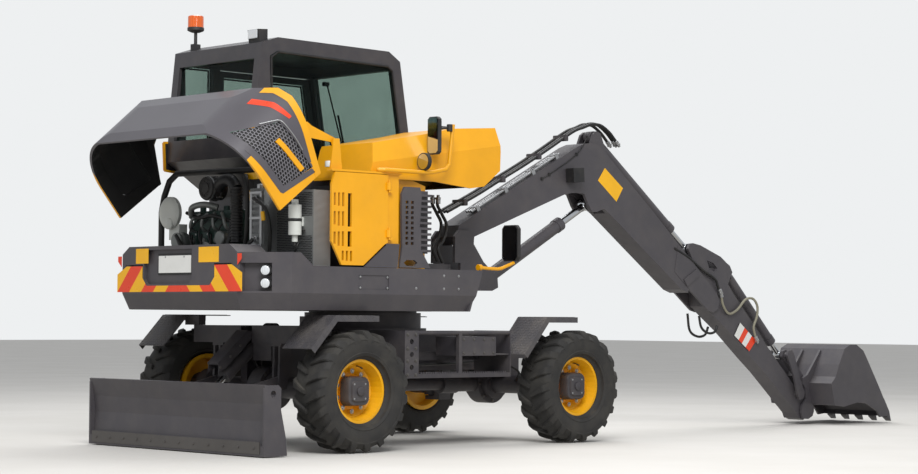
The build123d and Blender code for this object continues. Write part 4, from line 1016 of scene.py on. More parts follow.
@dataclass
class Wheel:
    """One wheel: a lug tyre and a hub cover on the fixed rim."""

    name: str
    station: float
    sign: int
    repeater: Repeater
    track: float = 0.86
    carcass_sides: int = 96
    crown: float = 0.392
    lug_count: int = 19
    lug_rise: float = 0.0145
    lug_gap: float = 0.006
    nut_count: int = 10
    nut_circle: float = 0.135
    post_circle: float = 0.068
    cover_half: float = 0.052
    cover_round: float = 0.047

    def outward(self, reach: float, up: float = 0.0, along: float = 0.0) -> Point:
        """Places a point by its reach outwards from the wheel's middle."""
        return (self.station + along, self.sign * (self.track + reach), AXLE_HEIGHT + up)

    def lug(self) -> Shape:
        """Models one lug, standing on the crown and running outwards.

        Returns:
            Its shape.
        """
        lean, flare = 0.46, 1.25
        rows = [
            (-0.002, 0.014, 0.000, -0.050), (0.030, 0.016, 0.000, -0.050), (0.085, 0.021, -0.002, -0.055),
            (0.120, 0.026, -0.010, -0.060), (0.146, 0.028, -0.052, -0.090),
        ]
        shape = Shape()
        rings = []
        for reach, half, top, foot in rows:
            corners = ((-half * flare, foot), (half * flare, foot), (half, top), (-half, top))
            rings.append([Vector((reach * lean + x, reach, z)) for x, z in corners])
        shape.skin(rings)
        shape.bevelled(0.004, 2)
        return shape

    def tyre(self) -> None:
        """Makes the tyre with its carcass, shoulder rings and lugs."""
        half = [
            (0.214, 0.100), (0.229, 0.109), (0.236, 0.120), (0.238, 0.136), (0.250, 0.142), (0.256, 0.146),
            (0.262, 0.143), (0.290, 0.150), (0.320, 0.152), (0.338, 0.150), (0.342, 0.153), (0.348, 0.152),
            (0.352, 0.147), (0.368, 0.136), (0.378, 0.118), (0.384, 0.080), (0.387, 0.030),
        ]
        profile = [(-side, radius) for radius, side in half] + [
            (side, radius) for radius, side in reversed(half)
        ]
        shape = Shape()
        rings = []
        for up, along in circle(1.0, self.carcass_sides):
            rings.append([at(*self.outward(side, up * radius, along * radius)) for side, radius in profile])
        shape.skin(rings, capped=False)
        middle = at(*self.outward(0.0))
        spots = []
        for side in SIDES:
            for step in range(self.lug_count):
                angle = 2 * math.pi * (step + 0.25 * side) / self.lug_count
                reach = Vector((
                    math.sin(angle) * self.crown, side * self.lug_gap, math.cos(angle) * self.crown
                ))
                point = middle + reach + reach.normalized() * self.lug_rise
                spots.append(Spot(point, (0.0, angle, 0.0), (1.0, float(side), 1.0)))
        shape.take(self.repeater.mesh(self.lug(), spots, RUBBER))
        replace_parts(shape.piece(f"{self.name}_tyre", RUBBER, f"wheel_{self.name}"), f"tyre_{self.name}")

    def hub(self) -> None:
        """Makes the dark hub cover with its nuts, and the valve."""
        body = f"wheel_{self.name}"
        away = (0, self.sign, 0)
        outline = []
        for corner, (a, b) in enumerate(((1, 1), (-1, 1), (-1, -1), (1, -1))):
            for step in range(7):
                angle = math.pi / 2 * (corner + step / 6)
                across, up = self.cover_round * math.cos(angle), self.cover_round * math.sin(angle)
                outline.append((self.cover_half * a + across, self.cover_half * b + up))
        cover = Shape()
        rings = []
        for reach, scale in (
            (0.006, 1.0), (0.068, 0.97), (0.082, 0.9), (0.084, 0.7), (0.094, 0.66), (0.096, 0.3)
        ):
            rings.append([at(*self.outward(reach, b * scale, a * scale)) for a, b in outline])
        cover.skin(rings)
        cover.turned(self.outward(0.094), away, [(0.0, 0.03), (0.012, 0.03), (0.016, 0.024)])
        posts = circle(self.post_circle, 4, 0.5)
        for a, b in posts:
            cover.rod(self.outward(0.0, b, a), self.outward(0.09, b, a), 0.019, 16, 0.003)
        cover.piece(f"{self.name}_hub_cover", FRAME_GREY, body)
        nuts = [
            facing(self.outward(0.012, b, a), away, 1.25)
            for a, b in circle(self.nut_circle, self.nut_count, 0.5)
        ]
        nuts += [facing(self.outward(0.088, b, a), away, 0.9) for a, b in posts]
        self.repeater.piece(f"{self.name}_wheel_nuts", bolt(), nuts, STEEL, body)
        valve = Shape()
        stem = ((0.03, 0.168, 0.02), (0.05, 0.166, 0.021), (0.075, 0.158, 0.022))
        valve.tube([self.outward(*point) for point in stem], 0.004, 8)
        tip = [(0, 0.0055), (0.016, 0.0055), (0.018, 0.004)]
        valve.turned(self.outward(0.073, 0.159, 0.022), (0, self.sign * 0.027, -0.014), tip, 10)
        valve.piece(f"{self.name}_valve", HOSE, body)

    def make(self) -> None:
        """Makes the wheel."""
        self.tyre()
        self.hub()


# ---- Undercarriage ----


@dataclass
class Undercarriage:
    """Studs, bolts, tread bars, hoses and the blade's trim."""

    repeater: Repeater
    step_level: float = 0.5145
    stud_pitch: Span = (0.03, 0.033)
    tooth_pitch: float = 0.022
    flange_circle: float = 0.098
    cover_circle: float = 0.1323
    bar_pitch: Span = (0.024, 0.0245)

    def treads(self) -> None:
        """Sets rows of studs on both steps, and teeth along their edges."""
        spots = [
            facing((
                -0.55 + i * self.stud_pitch[0], sign * (0.64 + k * self.stud_pitch[1]), self.step_level
            ), UPWARD)
            for sign in SIDES for i in range(33) for k in range(7)
        ]
        stud = Shape()
        stud.turned(CENTRE, UPWARD, [(0.0, 0.0085), (0.004, 0.0075), (0.005, 0.005), (0.003, 0.004)], 10)
        self.repeater.piece("step_studs", stud, spots, FRAME_GREY, "undercarriage")
        tooth = Shape()
        tooth.turned(CENTRE, UPWARD, [(0.0, 0.007), (0.012, 0.0035)], 4)
        edges = [
            facing((-0.42 + i * self.tooth_pitch, sign * 0.866, self.step_level + 0.0005), UPWARD)
            for i in range(38) for sign in SIDES
        ]
        self.repeater.piece("step_teeth", tooth, edges, FRAME_GREY, "undercarriage")

    def bolts(self) -> None:
        """Sets the bolts of the axles, steps, fenders and frame."""
        rows = (
            ((-0.55, -0.475), 0.87, (0.51, 0.605, 0.69, 0.785), 1.0),
            ((-0.01, 0.09, 0.19, 0.28), 0.86, (0.655, 0.75), 0.8),
            ((-0.8, -0.7, -0.6, 0.6, 0.7, 0.8), 0.38, (0.62,), 1.0),
        )
        spots = []
        for sign in SIDES:
            away = (0, sign, 0)
            for stations, y, levels, size in rows:
                spots += [facing((x, sign * y, z), away, size) for x in stations for z in levels]
            for x, z in circle(self.flange_circle, 8):
                spots.append(facing((x - AXLE_STATION, sign * 0.7, AXLE_HEIGHT + z), away))
            for station in (-AXLE_STATION, AXLE_STATION):
                for x, z in circle(self.cover_circle, 8):
                    spots.append(facing((station + x, sign * 0.07, AXLE_HEIGHT + z), away))
            for x, z in ((-1.22, 0.878), (0.66, 0.798)):
                spots += [facing((x, sign * y, z), UPWARD) for y in (0.6, 0.66)]
        self.repeater.piece("frame_bolts", bolt(), spots, WORN_STEEL, "undercarriage")

    def plates(self) -> None:
        """Raises the tread bars on the four fenders."""
        outline = (
            (-0.013, 0.0), (-0.006, -0.0036), (0.006, -0.0036), (0.013, 0.0), (0.006, 0.0036),
            (-0.006, 0.0036)
        )
        bar = Shape()
        bar.skin([
            [Vector((a * share, b * share, level)) for a, b in outline]
            for level, share in ((-0.0005, 1.0), (0.0012, 0.92), (0.0018, 0.6))
        ])
        spots = []
        for (x, z), last in (
            ((-1.272, 0.911), (-0.892, 0.911)), ((-1.4795, 0.694), (-1.272, 0.911)),
            ((0.727, 0.911), (1.043, 0.911)), ((0.4955, 0.644), (0.727, 0.911)),
        ):
            run = Vector((last[0] - x, 0.0, last[1] - z))
            outward = Vector((-run.z, 0.0, run.x)).normalized()
            along = run.normalized()
            lie = Matrix((along, outward.cross(along), outward)).transposed()
            for i in range(int(run.length / self.bar_pitch[0])):
                share = (i + 0.5) * self.bar_pitch[0]
                for k in range(12):
                    spin = math.pi / 4 if (i + k) % 2 else -math.pi / 4
                    turn = tuple((lie @ Matrix.Rotation(spin, 3, "Z")).to_euler())
                    for sign in SIDES:
                        place = at(
                            x + along.x * share, sign * (0.676 + k * self.bar_pitch[1]), z + along.z * share
                        )
                        spots.append(Spot(place + outward * 0.0003, turn))
        self.repeater.piece("fender_tread", bar, spots, PLATE_GREY, "undercarriage")

    def hoses(self) -> None:
        """Runs the brake, steering and blade hoses."""
        shape = Shape()
        for sign in SIDES:
            shape.tube([
                (0.75, sign * 0.3, 0.60), (0.9, sign * 0.36, 0.56), (0.98, sign * 0.42, 0.5),
                (0.96, sign * 0.4, 0.43)
            ], 0.009)
            shape.tube([
                (-0.75, sign * 0.25, 0.62), (-0.88, sign * 0.3, 0.57), (-0.98, sign * 0.34, 0.52)
            ], 0.009)
        for offset in (0.0, 0.026):
            shape.tube([
                (-0.92, 0.2 + offset, 0.80), (-1.0, 0.18 + offset, 0.76), (-1.05, 0.16 + offset, 0.68),
                (-1.06, 0.15 + offset, 0.6), (-1.04, 0.14, 0.55)
            ], 0.0085)
        for y in (-0.31, -0.28, 0.29):
            shape.tube([(-0.6, y, 0.57), (-0.2, y, 0.56), (0.3, y, 0.565), (0.62, y, 0.58)], 0.008)
        shape.piece("frame_hoses", HOSE, "undercarriage")

    def covers(self) -> None:
        """Makes the blade cylinder's cover and the blade's wear edge, with their bolts."""
        side = [
            (-1.545, 0.52), (-1.54, 0.58), (-1.29, 0.80), (-1.25, 0.812), (-1.235, 0.775), (-1.48, 0.55)
        ]
        top = [(-1.545, 0.57), (-1.54, 0.58), (-1.29, 0.80), (-1.295, 0.81), (-1.55, 0.585)]
        cover = Shape()
        for outline, start, end in ((side, 0.062, 0.056), (side, -0.056, -0.062), (top, -0.062, 0.062)):
            cover.prism(outline, "y", start, end)
        cover.bevelled(0.002)
        cover.piece("blade_cylinder_cover", FRAME_GREY, "blade_cylinder")
        spots = [
            facing((-1.53 + k * 0.085, sign * 0.062, 0.555 + k * 0.074), (0, sign, 0), 0.8)
            for k in range(3) for sign in SIDES
        ]
        self.repeater.piece("blade_cover_bolts", bolt(), spots, WORN_STEEL, "blade_cylinder")
        edge = Shape()
        edge.box((-1.884, -1.878), (-0.94, 0.94), (0.02, 0.1))
        edge.bevelled(0.002)
        edge.piece("blade_wear_edge", WORN_STEEL, "blade")
        rivets = [facing((-1.883, -0.88 + k * 0.16, 0.06), REARWARD, 0.9) for k in range(12)]
        self.repeater.piece("blade_bolts", bolt(), rivets, WORN_STEEL, "blade")

    def make(self) -> None:
        """Makes all of it."""
        self.treads()
        self.bolts()
        self.plates()
        self.hoses()
        self.covers()


# ---- Counterweight and lamps ----


@dataclass
class Rear:
    """Blank signs, stripes, lamp faces and the beacon."""

    repeater: Repeater
    face: float = -1.85
    low: float = 1.064
    step: float = 1.106
    high: float = 1.24
    stripe: float = 0.14
    lean: float = 0.9
    film: float = 0.0012
    gap: float = 0.0002
    lamp_way: Span = (-0.7834, 0.6216)
    lamp_face: Span = (-1.73186886, 0.79176936)

    def band(self, sign: int) -> list[tuple[Finish, Outline]]:
        """Cuts one side's warning band into its slanted stripes.

        Args:
            sign: the side.

        Returns:
            A finish and (y, z) corners for each stripe.
        """
        pieces = []
        outline = [
            (0.0, self.low), (0.70, self.low), (0.70, 1.186), (0.59, self.high), (0.405, self.high),
            (0.405, 1.16), (0.355, self.step), (0.0, self.step)
        ]
        for k in range(-2, 8):
            left = clip(outline, k * self.stripe, self.lean, self.low, 1)
            left = clip(left, (k + 1) * self.stripe, self.lean, self.low, -1)
            if len(left) > 2:
                pieces.append(((RED_FILM, YELLOW_FILM)[k % 2], [(-sign * y, z) for y, z in left]))
        return pieces

    def stripes(self) -> None:
        """Lays the red and yellow stripes and the red marks on the rear face."""
        shapes = {RED_FILM: Shape(), YELLOW_FILM: Shape()}
        mark = [(0.648, 1.236), (0.648, 1.311), (0.692, 1.311), (0.692, 1.275)]
        for sign in SIDES:
            for finish, outline in [*self.band(sign), (RED_FILM, [(-sign * y, z) for y, z in mark])]:
                shapes[finish].sheet([(self.face - self.gap, y, z) for y, z in outline], self.film)
        for finish, shape in shapes.items():
            shape.piece(f"rear_stripes_{finish.name.split('_')[0]}", finish, "upper")

    def plates(self) -> None:
        """Fixes the blank signs and the blank number plate."""
        signs = Shape()
        for low, high in ((-0.45, -0.232), (0.335, 0.48)):
            signs.box((self.face - 0.0016, self.face - self.gap), (low, high), (1.258, 1.36))
        signs.piece("rear_signs", YELLOW_FILM, "upper")
        holder = Shape()
        holder.box((-1.8335, -1.8262), (-0.14, 0.25), (1.18, 1.322))
        holder.bevelled(0.003)
        holder.piece("plate_holder", PLASTIC, "upper")
        plate = Shape()
        plate.box((-1.8352, -1.8336), (-0.128, 0.238), (1.192, 1.308))
        plate.bevelled(0.0005, 1)
        plate.piece("number_plate", WHITE_FILM, "upper")
        spots = [facing((-1.8352, y, 1.3), REARWARD, 0.5) for y in (-0.05, 0.16)]
        spots += [
            facing((x, sign * 0.93, z), (0, sign, 0), 0.6) for x in (-1.035, -0.793) for z in (1.097, 1.17)
            for sign in SIDES
        ]
        guard = ((-0.53, 1.1), (-0.27, 1.1), (-0.13, 1.1), (-0.27, 1.19), (-0.13, 1.19))
        spots += [facing((x, -0.93, z), (0, -1, 0), 0.7) for x, z in guard]
        self.repeater.piece("rear_screws", bolt(), spots, STEEL, "upper")

    def lenses(self) -> None:
        """Sets the rear lamps' lenses and rings, the beacon and the cab lamp's face."""
        lens, ring = Shape(), Shape()
        x, y = self.lamp_face
        for sign in SIDES:
            way = (self.lamp_way[0], sign * self.lamp_way[1], 0.0)
            for z in (1.118, 1.202):
                place = (x, sign * y, z)
                ring.turned(place, way, [
                    (-0.004, 0.036), (0.004, 0.036), (0.006, 0.034), (0.004, 0.03)
                ], 28)
                lens.turned(place, way, [(0.0, 0.031), (0.004, 0.03), (0.008, 0.02), (0.009, 0.006)], 28)
        ring.piece("rear_lamp_rings", PLASTIC, "upper")
        lens.piece("rear_lamp_lenses", WHITE_LENS, "upper", "trim_plastic")
        dome = [(0.0, 0.0568), (0.07, 0.0562), (0.088, 0.0558), (0.0925, 0.05), (0.094, 0.03)]
        foot = [(0.0, 0.03), (0.008, 0.05), (0.014, 0.06), (0.03, 0.0605), (0.036, 0.058)]
        for name, level, profile, finish, slot in ((
            "beacon_dome", 2.962, dome, AMBER_LENS, "trim_plastic"
        ), ("beacon_base", 2.935, foot, PLASTIC, "")):
            shape = Shape()
            shape.turned((-1.2, 0.7, level), UPWARD, profile, 32)
            shape.piece(name, finish, "upper", slot)
        work = Shape()
        work.prism([(0.012, 2.822), (-0.092, 2.822), (-0.092, 2.882), (0.012, 2.882)], "x", -1.262, -1.268)
        work.bevelled(0.003)
        work.piece("cab_lamp_face", WHITE_LENS, "upper", "trim_plastic")

    def make(self) -> None:
        """Makes all of it."""
        self.stripes()
        self.plates()
        self.lenses()


def clip(outline: Outline, edge: float, slope: float, base: float, keep: int) -> Outline:
    """Cuts an outline along a slanted line.

    Args:
        outline: its corners.
        edge: where the line meets the base.
        slope: how far it leans for each unit of height.
        base: the base's height.
        keep: 1 keeps what is beyond the line, -1 what is before it.

    Returns:
        The corners that are left.
    """
    value = [keep * (y - edge + (z - base) * slope) for y, z in outline]
    left = []
    for k, (a, b) in enumerate(zip(outline, outline[1:] + outline[:1])):
        first, second = value[k], value[(k + 1) % len(value)]
        if first >= 0:
            left.append(a)
        if (first > 0 > second) or (first < 0 < second):
            t = first / (first - second)
            left.append((a[0] + (b[0] - a[0]) * t, a[1] + (b[1] - a[1]) * t))
    return left


# ---- Engine bay ----


@dataclass
class EngineBay:
    """The open engine with its filter, cooler, bottle and hoses."""

    repeater: Repeater
    head: float = 1.64
    cylinders: int = 4
    pitch: float = 0.135
    first: float = 0.115
    filter_place: Span = (0.2, 1.785)
    fin_pitch: float = 0.0085
    hole_pitch: Span = (0.013, 0.0115)

    def block(self) -> None:
        """Makes the engine that stands for the plain block."""
        rows = [self.first + k * self.pitch for k in range(self.cylinders)]
        shape = Shape()
        for x, y, z in (
            ((-1.32, -0.97), (0.0, 0.63), (1.17, 1.36)),
            ((-1.30, -0.98), (0.02, 0.61), (1.36, 1.5)),
            ((-1.31, -1.0), (0.03, 0.6), (1.5, 1.565)),
            ((-1.29, -1.02), (0.05, 0.58), (1.565, self.head)),
            ((-1.345, -1.32), (0.06, 0.58), (1.3, 1.34)),
        ):
            shape.box(x, y, z)
        for y in rows:
            shape.box((-1.332, -1.3), (y - 0.035, y + 0.035), (1.38, 1.49))
            shape.rod((-1.25, y, self.head - 0.01), (-1.25, y, self.head + 0.035), 0.022, 18, 0.004)
        shape.bevelled(0.007)
        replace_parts(shape.piece("engine", ENGINE, "upper"), "engine_block")
        pale = Shape()
        pulley = [(0.0, 0.09), (0.01, 0.116), (0.035, 0.116), (0.05, 0.1), (0.055, 0.07), (0.05, 0.03)]
        pale.turned((-1.38, 0.70, 1.63), REARWARD, pulley, 40)
        pale.turned((-1.43, 0.675, 1.555), REARWARD, [(0.0, 0.04), (0.006, 0.038), (0.01, 0.03)], 24)
        pale.box((-1.40, -1.33), (0.60, 0.72), (1.44, 1.55))
        pale.piece("belt_cover", PALE_PLASTIC, "upper")
        pump = [
            (0.0, 0.06), (0.03, 0.066), (0.05, 0.066), (0.052, 0.05), (0.07, 0.05), (0.072, 0.06),
            (0.082, 0.06), (0.084, 0.03)
        ]
        wheel = [(0.0, 0.085), (0.02, 0.09), (0.05, 0.09), (0.056, 0.06), (0.062, 0.02)]
        drum = [(0.0, 0.05), (0.08, 0.052), (0.088, 0.045), (0.09, 0.02)]
        cast = Shape()
        for y, z, profile, sides in (
            (0.62, 1.43, pump, 28), (0.33, 1.33, wheel, 32), (0.12, 1.44, drum, 28)
        ):
            cast.turned((-1.33, y, z), REARWARD, profile, sides)
        for k, y in enumerate(rows):
            bend = [
                (-1.31, y, 1.49), (-1.36, y, 1.52), (-1.36, 0.14 + k * 0.12, 1.58),
                (-1.33, 0.2 + k * 0.08, 1.62)
            ]
            cast.tube(bend, 0.012, 10)
            cast.turned((-1.30, y, 1.43), REARWARD, [(0.0, 0.02), (0.05, 0.02), (0.055, 0.012)], 14)
        cast.tube([
            (-1.35, 0.52, 1.6), (-1.40, 0.45, 1.66), (-1.38, 0.34, 1.68), (-1.32, 0.26, 1.66)
        ], 0.022, 14)
        cast.piece("engine_castings", CASTING, "upper")
        self.wires()
        faces = [((-1.345, 0.09 + k * 0.07, 1.32), REARWARD, 0.7) for k in range(8)]
        faces += [
            ((-1.332, 0.09 + k * self.pitch, z), REARWARD, 0.6) for k in range(4) for z in (1.395, 1.475)
        ]
        faces += [((-1.29 + k * 0.065, 0.075, self.head), UPWARD, 0.7) for k in range(4)]
        for turn in (0.6, 1.9, 3.1, 4.4, 5.6):
            place = (-1.422, 0.70 + 0.09 * math.cos(turn), 1.63 + 0.09 * math.sin(turn))
            faces.append((place, REARWARD, 0.6))
        self.repeater.piece("engine_bolts", bolt(), [facing(*face) for face in faces], STEEL, "upper")

    def wires(self) -> None:
        """Runs the wires and hoses over the engine."""
        routes = []
        for k in range(self.cylinders):
            y = 0.12 + k * 0.11
            wire = [
                (-1.34, y, 1.36), (-1.385, y + 0.03, 1.42), (-1.38, y + 0.05, 1.5), (-1.33, y + 0.02, 1.58)
            ]
            hose = [
                (-1.32, y + 0.02, 1.24), (-1.37, y - 0.03, 1.3), (-1.40, y, 1.38), (-1.36, y + 0.05, 1.47)
            ]
            routes += [(0.006, 8, wire), (0.008, 8, hose)]
        routes += [
            (0.013, 10, [(-1.33, 0.1, 1.56), (-1.37, 0.25, 1.6), (-1.36, 0.42, 1.59), (-1.35, 0.58, 1.63)]),
            (0.016, 12, [(-1.41, 0.62, 1.47), (-1.43, 0.5, 1.36), (-1.41, 0.35, 1.27), (-1.36, 0.2, 1.22)]),
            (0.018, 12, [(-1.4, 0.0, 1.25), (-1.42, 0.05, 1.33), (-1.39, 0.02, 1.45), (-1.36, 0.05, 1.56)]),
        ]
        shape = Shape()
        for radius, sides, route in routes:
            shape.tube(route, radius, sides)
        shape.piece("engine_hoses", HOSE, "upper")

    def filter(self) -> None:
        """Makes the air filter's housing with its ribbed duct."""
        across, up = self.filter_place
        housing = [
            (0.0, 0.07), (0.006, 0.079), (0.05, 0.08), (0.052, 0.088), (0.062, 0.088), (0.066, 0.083),
            (0.13, 0.083), (0.14, 0.078), (0.143, 0.06), (0.138, 0.055), (0.138, 0.04), (0.145, 0.036),
            (0.145, 0.012)
        ]
        shape = Shape()
        shape.turned((-1.335, across, up), REARWARD, housing, 40)
        for a, b in circle(0.05, 10):
            y, z = across + a, up + b
            shape.box((-1.478, -1.47), (y - 0.003, y + 0.003), (z - 0.003, z + 0.003))
        rib = ((0.004, 0.038), (0.008, 0.044), (0.014, 0.044), (0.018, 0.038))
        ribs = [(0.0, 0.038)] + [(0.02 * k + along, radius) for k in range(19) for along, radius in rib]
        shape.turned((-1.445, -0.11, 1.78), (0, -0.01, -0.38), ribs, 24)
        shape.tube([
            (-1.42, 0.13, 1.79), (-1.44, 0.04, 1.83), (-1.445, -0.05, 1.83), (-1.445, -0.108, 1.77)
        ], 0.042, 20)
        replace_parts(shape.piece("air_cleaner", BLACK, "upper"), "air_filter")
        clips = Shape()
        for turn in (0.6, 2.2, 3.9, 5.4):
            y, z = across + 0.09 * math.cos(turn), up + 0.09 * math.sin(turn)
            clips.rod((-1.375, y, z), (-1.425, y, z), 0.006, 8)
        clips.turned((-1.45, across, up), REARWARD, [
            (0.0, 0.0845), (0.004, 0.0855), (0.01, 0.0855), (0.014, 0.0845)
        ], 36)
        clips.piece("filter_clips", STEEL, "upper")

    def cooler(self) -> None:
        """Adds the cooler's bars, fins and hoses, and the bay's blank labels."""
        bars = Shape()
        for y in (-0.352, -0.458):
            bars.box((-1.512, -1.5), (y - 0.012, y + 0.012), (1.375, 1.735))
        for z in (1.38, 1.56, 1.73):
            bars.box((-1.515, -1.502), (-0.47, -0.34), (z - 0.008, z + 0.008))
        bars.rod((-1.47, -0.4, 1.755), (-1.47, -0.4, 1.79), 0.022, 20, 0.003)
        bars.bevelled(0.002)
        for z in (1.42, 1.69):
            bars.turned((-1.505, -0.405, z), REARWARD, [
                (0.0, 0.022), (0.012, 0.022), (0.014, 0.015), (0.03, 0.015)
            ], 6)
        bars.piece("cooler_bars", STEEL, "upper")
        fins = Shape()
        fins.box((-0.06, 0.0), (-0.0485, 0.0485), (0.0, 0.0012))
        for vertex in fins.mesh.verts:
            vertex.co.x -= ORIGIN_X
        spots = [Spot(at(-1.449, -0.405, 1.392 + k * self.fin_pitch)) for k in range(39)]
        self.repeater.piece("cooler_fins", fins, spots, STEEL, "upper")
        hoses = Shape()
        hoses.tube([
            (-1.53, -0.405, 1.69), (-1.545, -0.45, 1.68), (-1.52, -0.52, 1.62), (-1.5, -0.54, 1.5),
            (-1.48, -0.52, 1.38), (-1.46, -0.48, 1.26)
        ], 0.013)
        hoses.tube([
            (-1.53, -0.405, 1.42), (-1.55, -0.38, 1.38), (-1.52, -0.3, 1.31), (-1.48, -0.24, 1.24)
        ], 0.013)
        hoses.tube([
            (-1.44, -0.2, 1.86), (-1.46, -0.24, 1.8), (-1.46, -0.25, 1.6), (-1.45, -0.22, 1.4),
            (-1.44, -0.15, 1.22)
        ], 0.016)
        hoses.tube([
            (-1.41, -0.74, 1.4), (-1.43, -0.74, 1.36), (-1.42, -0.7, 1.3), (-1.4, -0.62, 1.24)
        ], 0.008)
        hoses.piece("cooler_hoses", HOSE, "upper")
        marks = Shape()
        marks.rod((-1.532, -0.505, 1.6), (-1.528, -0.51, 1.54), 0.0145, 14)
        marks.box((-1.425, -1.422), (-0.33, -0.17), (1.83, 1.875))
        marks.turned((-1.42, -0.225, 1.72), REARWARD, [(0.0, 0.035), (0.002, 0.035)], 28)
        marks.piece("bay_labels", YELLOW_FILM, "upper")

    def bottle(self) -> None:
        """Adds the expansion bottle's band and cap, and dark discs in the wall's holes as painted shade."""
        band = Shape()
        band.turned((-1.446, -0.74, 1.53), UPWARD, [
            (0.0, 0.045), (0.002, 0.0465), (0.018, 0.0465), (0.02, 0.045)
        ], 32)
        band.turned((-1.446, -0.74, 1.675), UPWARD, [(0.0, 0.027), (0.02, 0.027), (0.024, 0.022)], 12)
        band.rod((-1.446, -0.74, 1.396), (-1.446, -0.74, 1.37), 0.012, 14)
        band.box((-1.41, -1.397), (-0.79, -0.69), (1.46, 1.475))
        band.piece("bottle_band", BLACK, "upper")
        # Dark discs on the wall stand for its holes: painted shade.
        hole = Shape()
        hole.turned(CENTRE, UPWARD, [(-0.0005, 0.0046), (0.0007, 0.0046)], 6)
        across, up = self.hole_pitch
        spots = []
        for i in range(28):
            for k in range(41):
                y, z = -0.855 + (i + 0.5 * (k % 2)) * across, 1.26 + k * up
                if y >= -0.68 or not 1.44 < z < 1.57:
                    spots.append(Spot(at(-1.3977, y, z), (0.0, -math.pi / 2, 0.0)))
        self.repeater.piece("wall_holes", hole, spots, SEAL, "upper")

    def make(self) -> None:
        """Makes all of it."""
        self.block()
        self.filter()
        self.cooler()
        self.bottle()


# ---- Hood and tank ----


def height(line: Outline | tuple[Span, ...], x: float) -> float:
    """Reads a broken line's height at a station.

    Args:
        line: its (x, z) points, from rear to front.
        x: the station.

    Returns:
        The height.
    """
    for (a, low), (b, high) in zip(line, line[1:]):
        if x <= b:
            share = min(max((x - a) / (b - a), 0.0), 1.0)
            return low + (high - low) * share
    return line[-1][1]


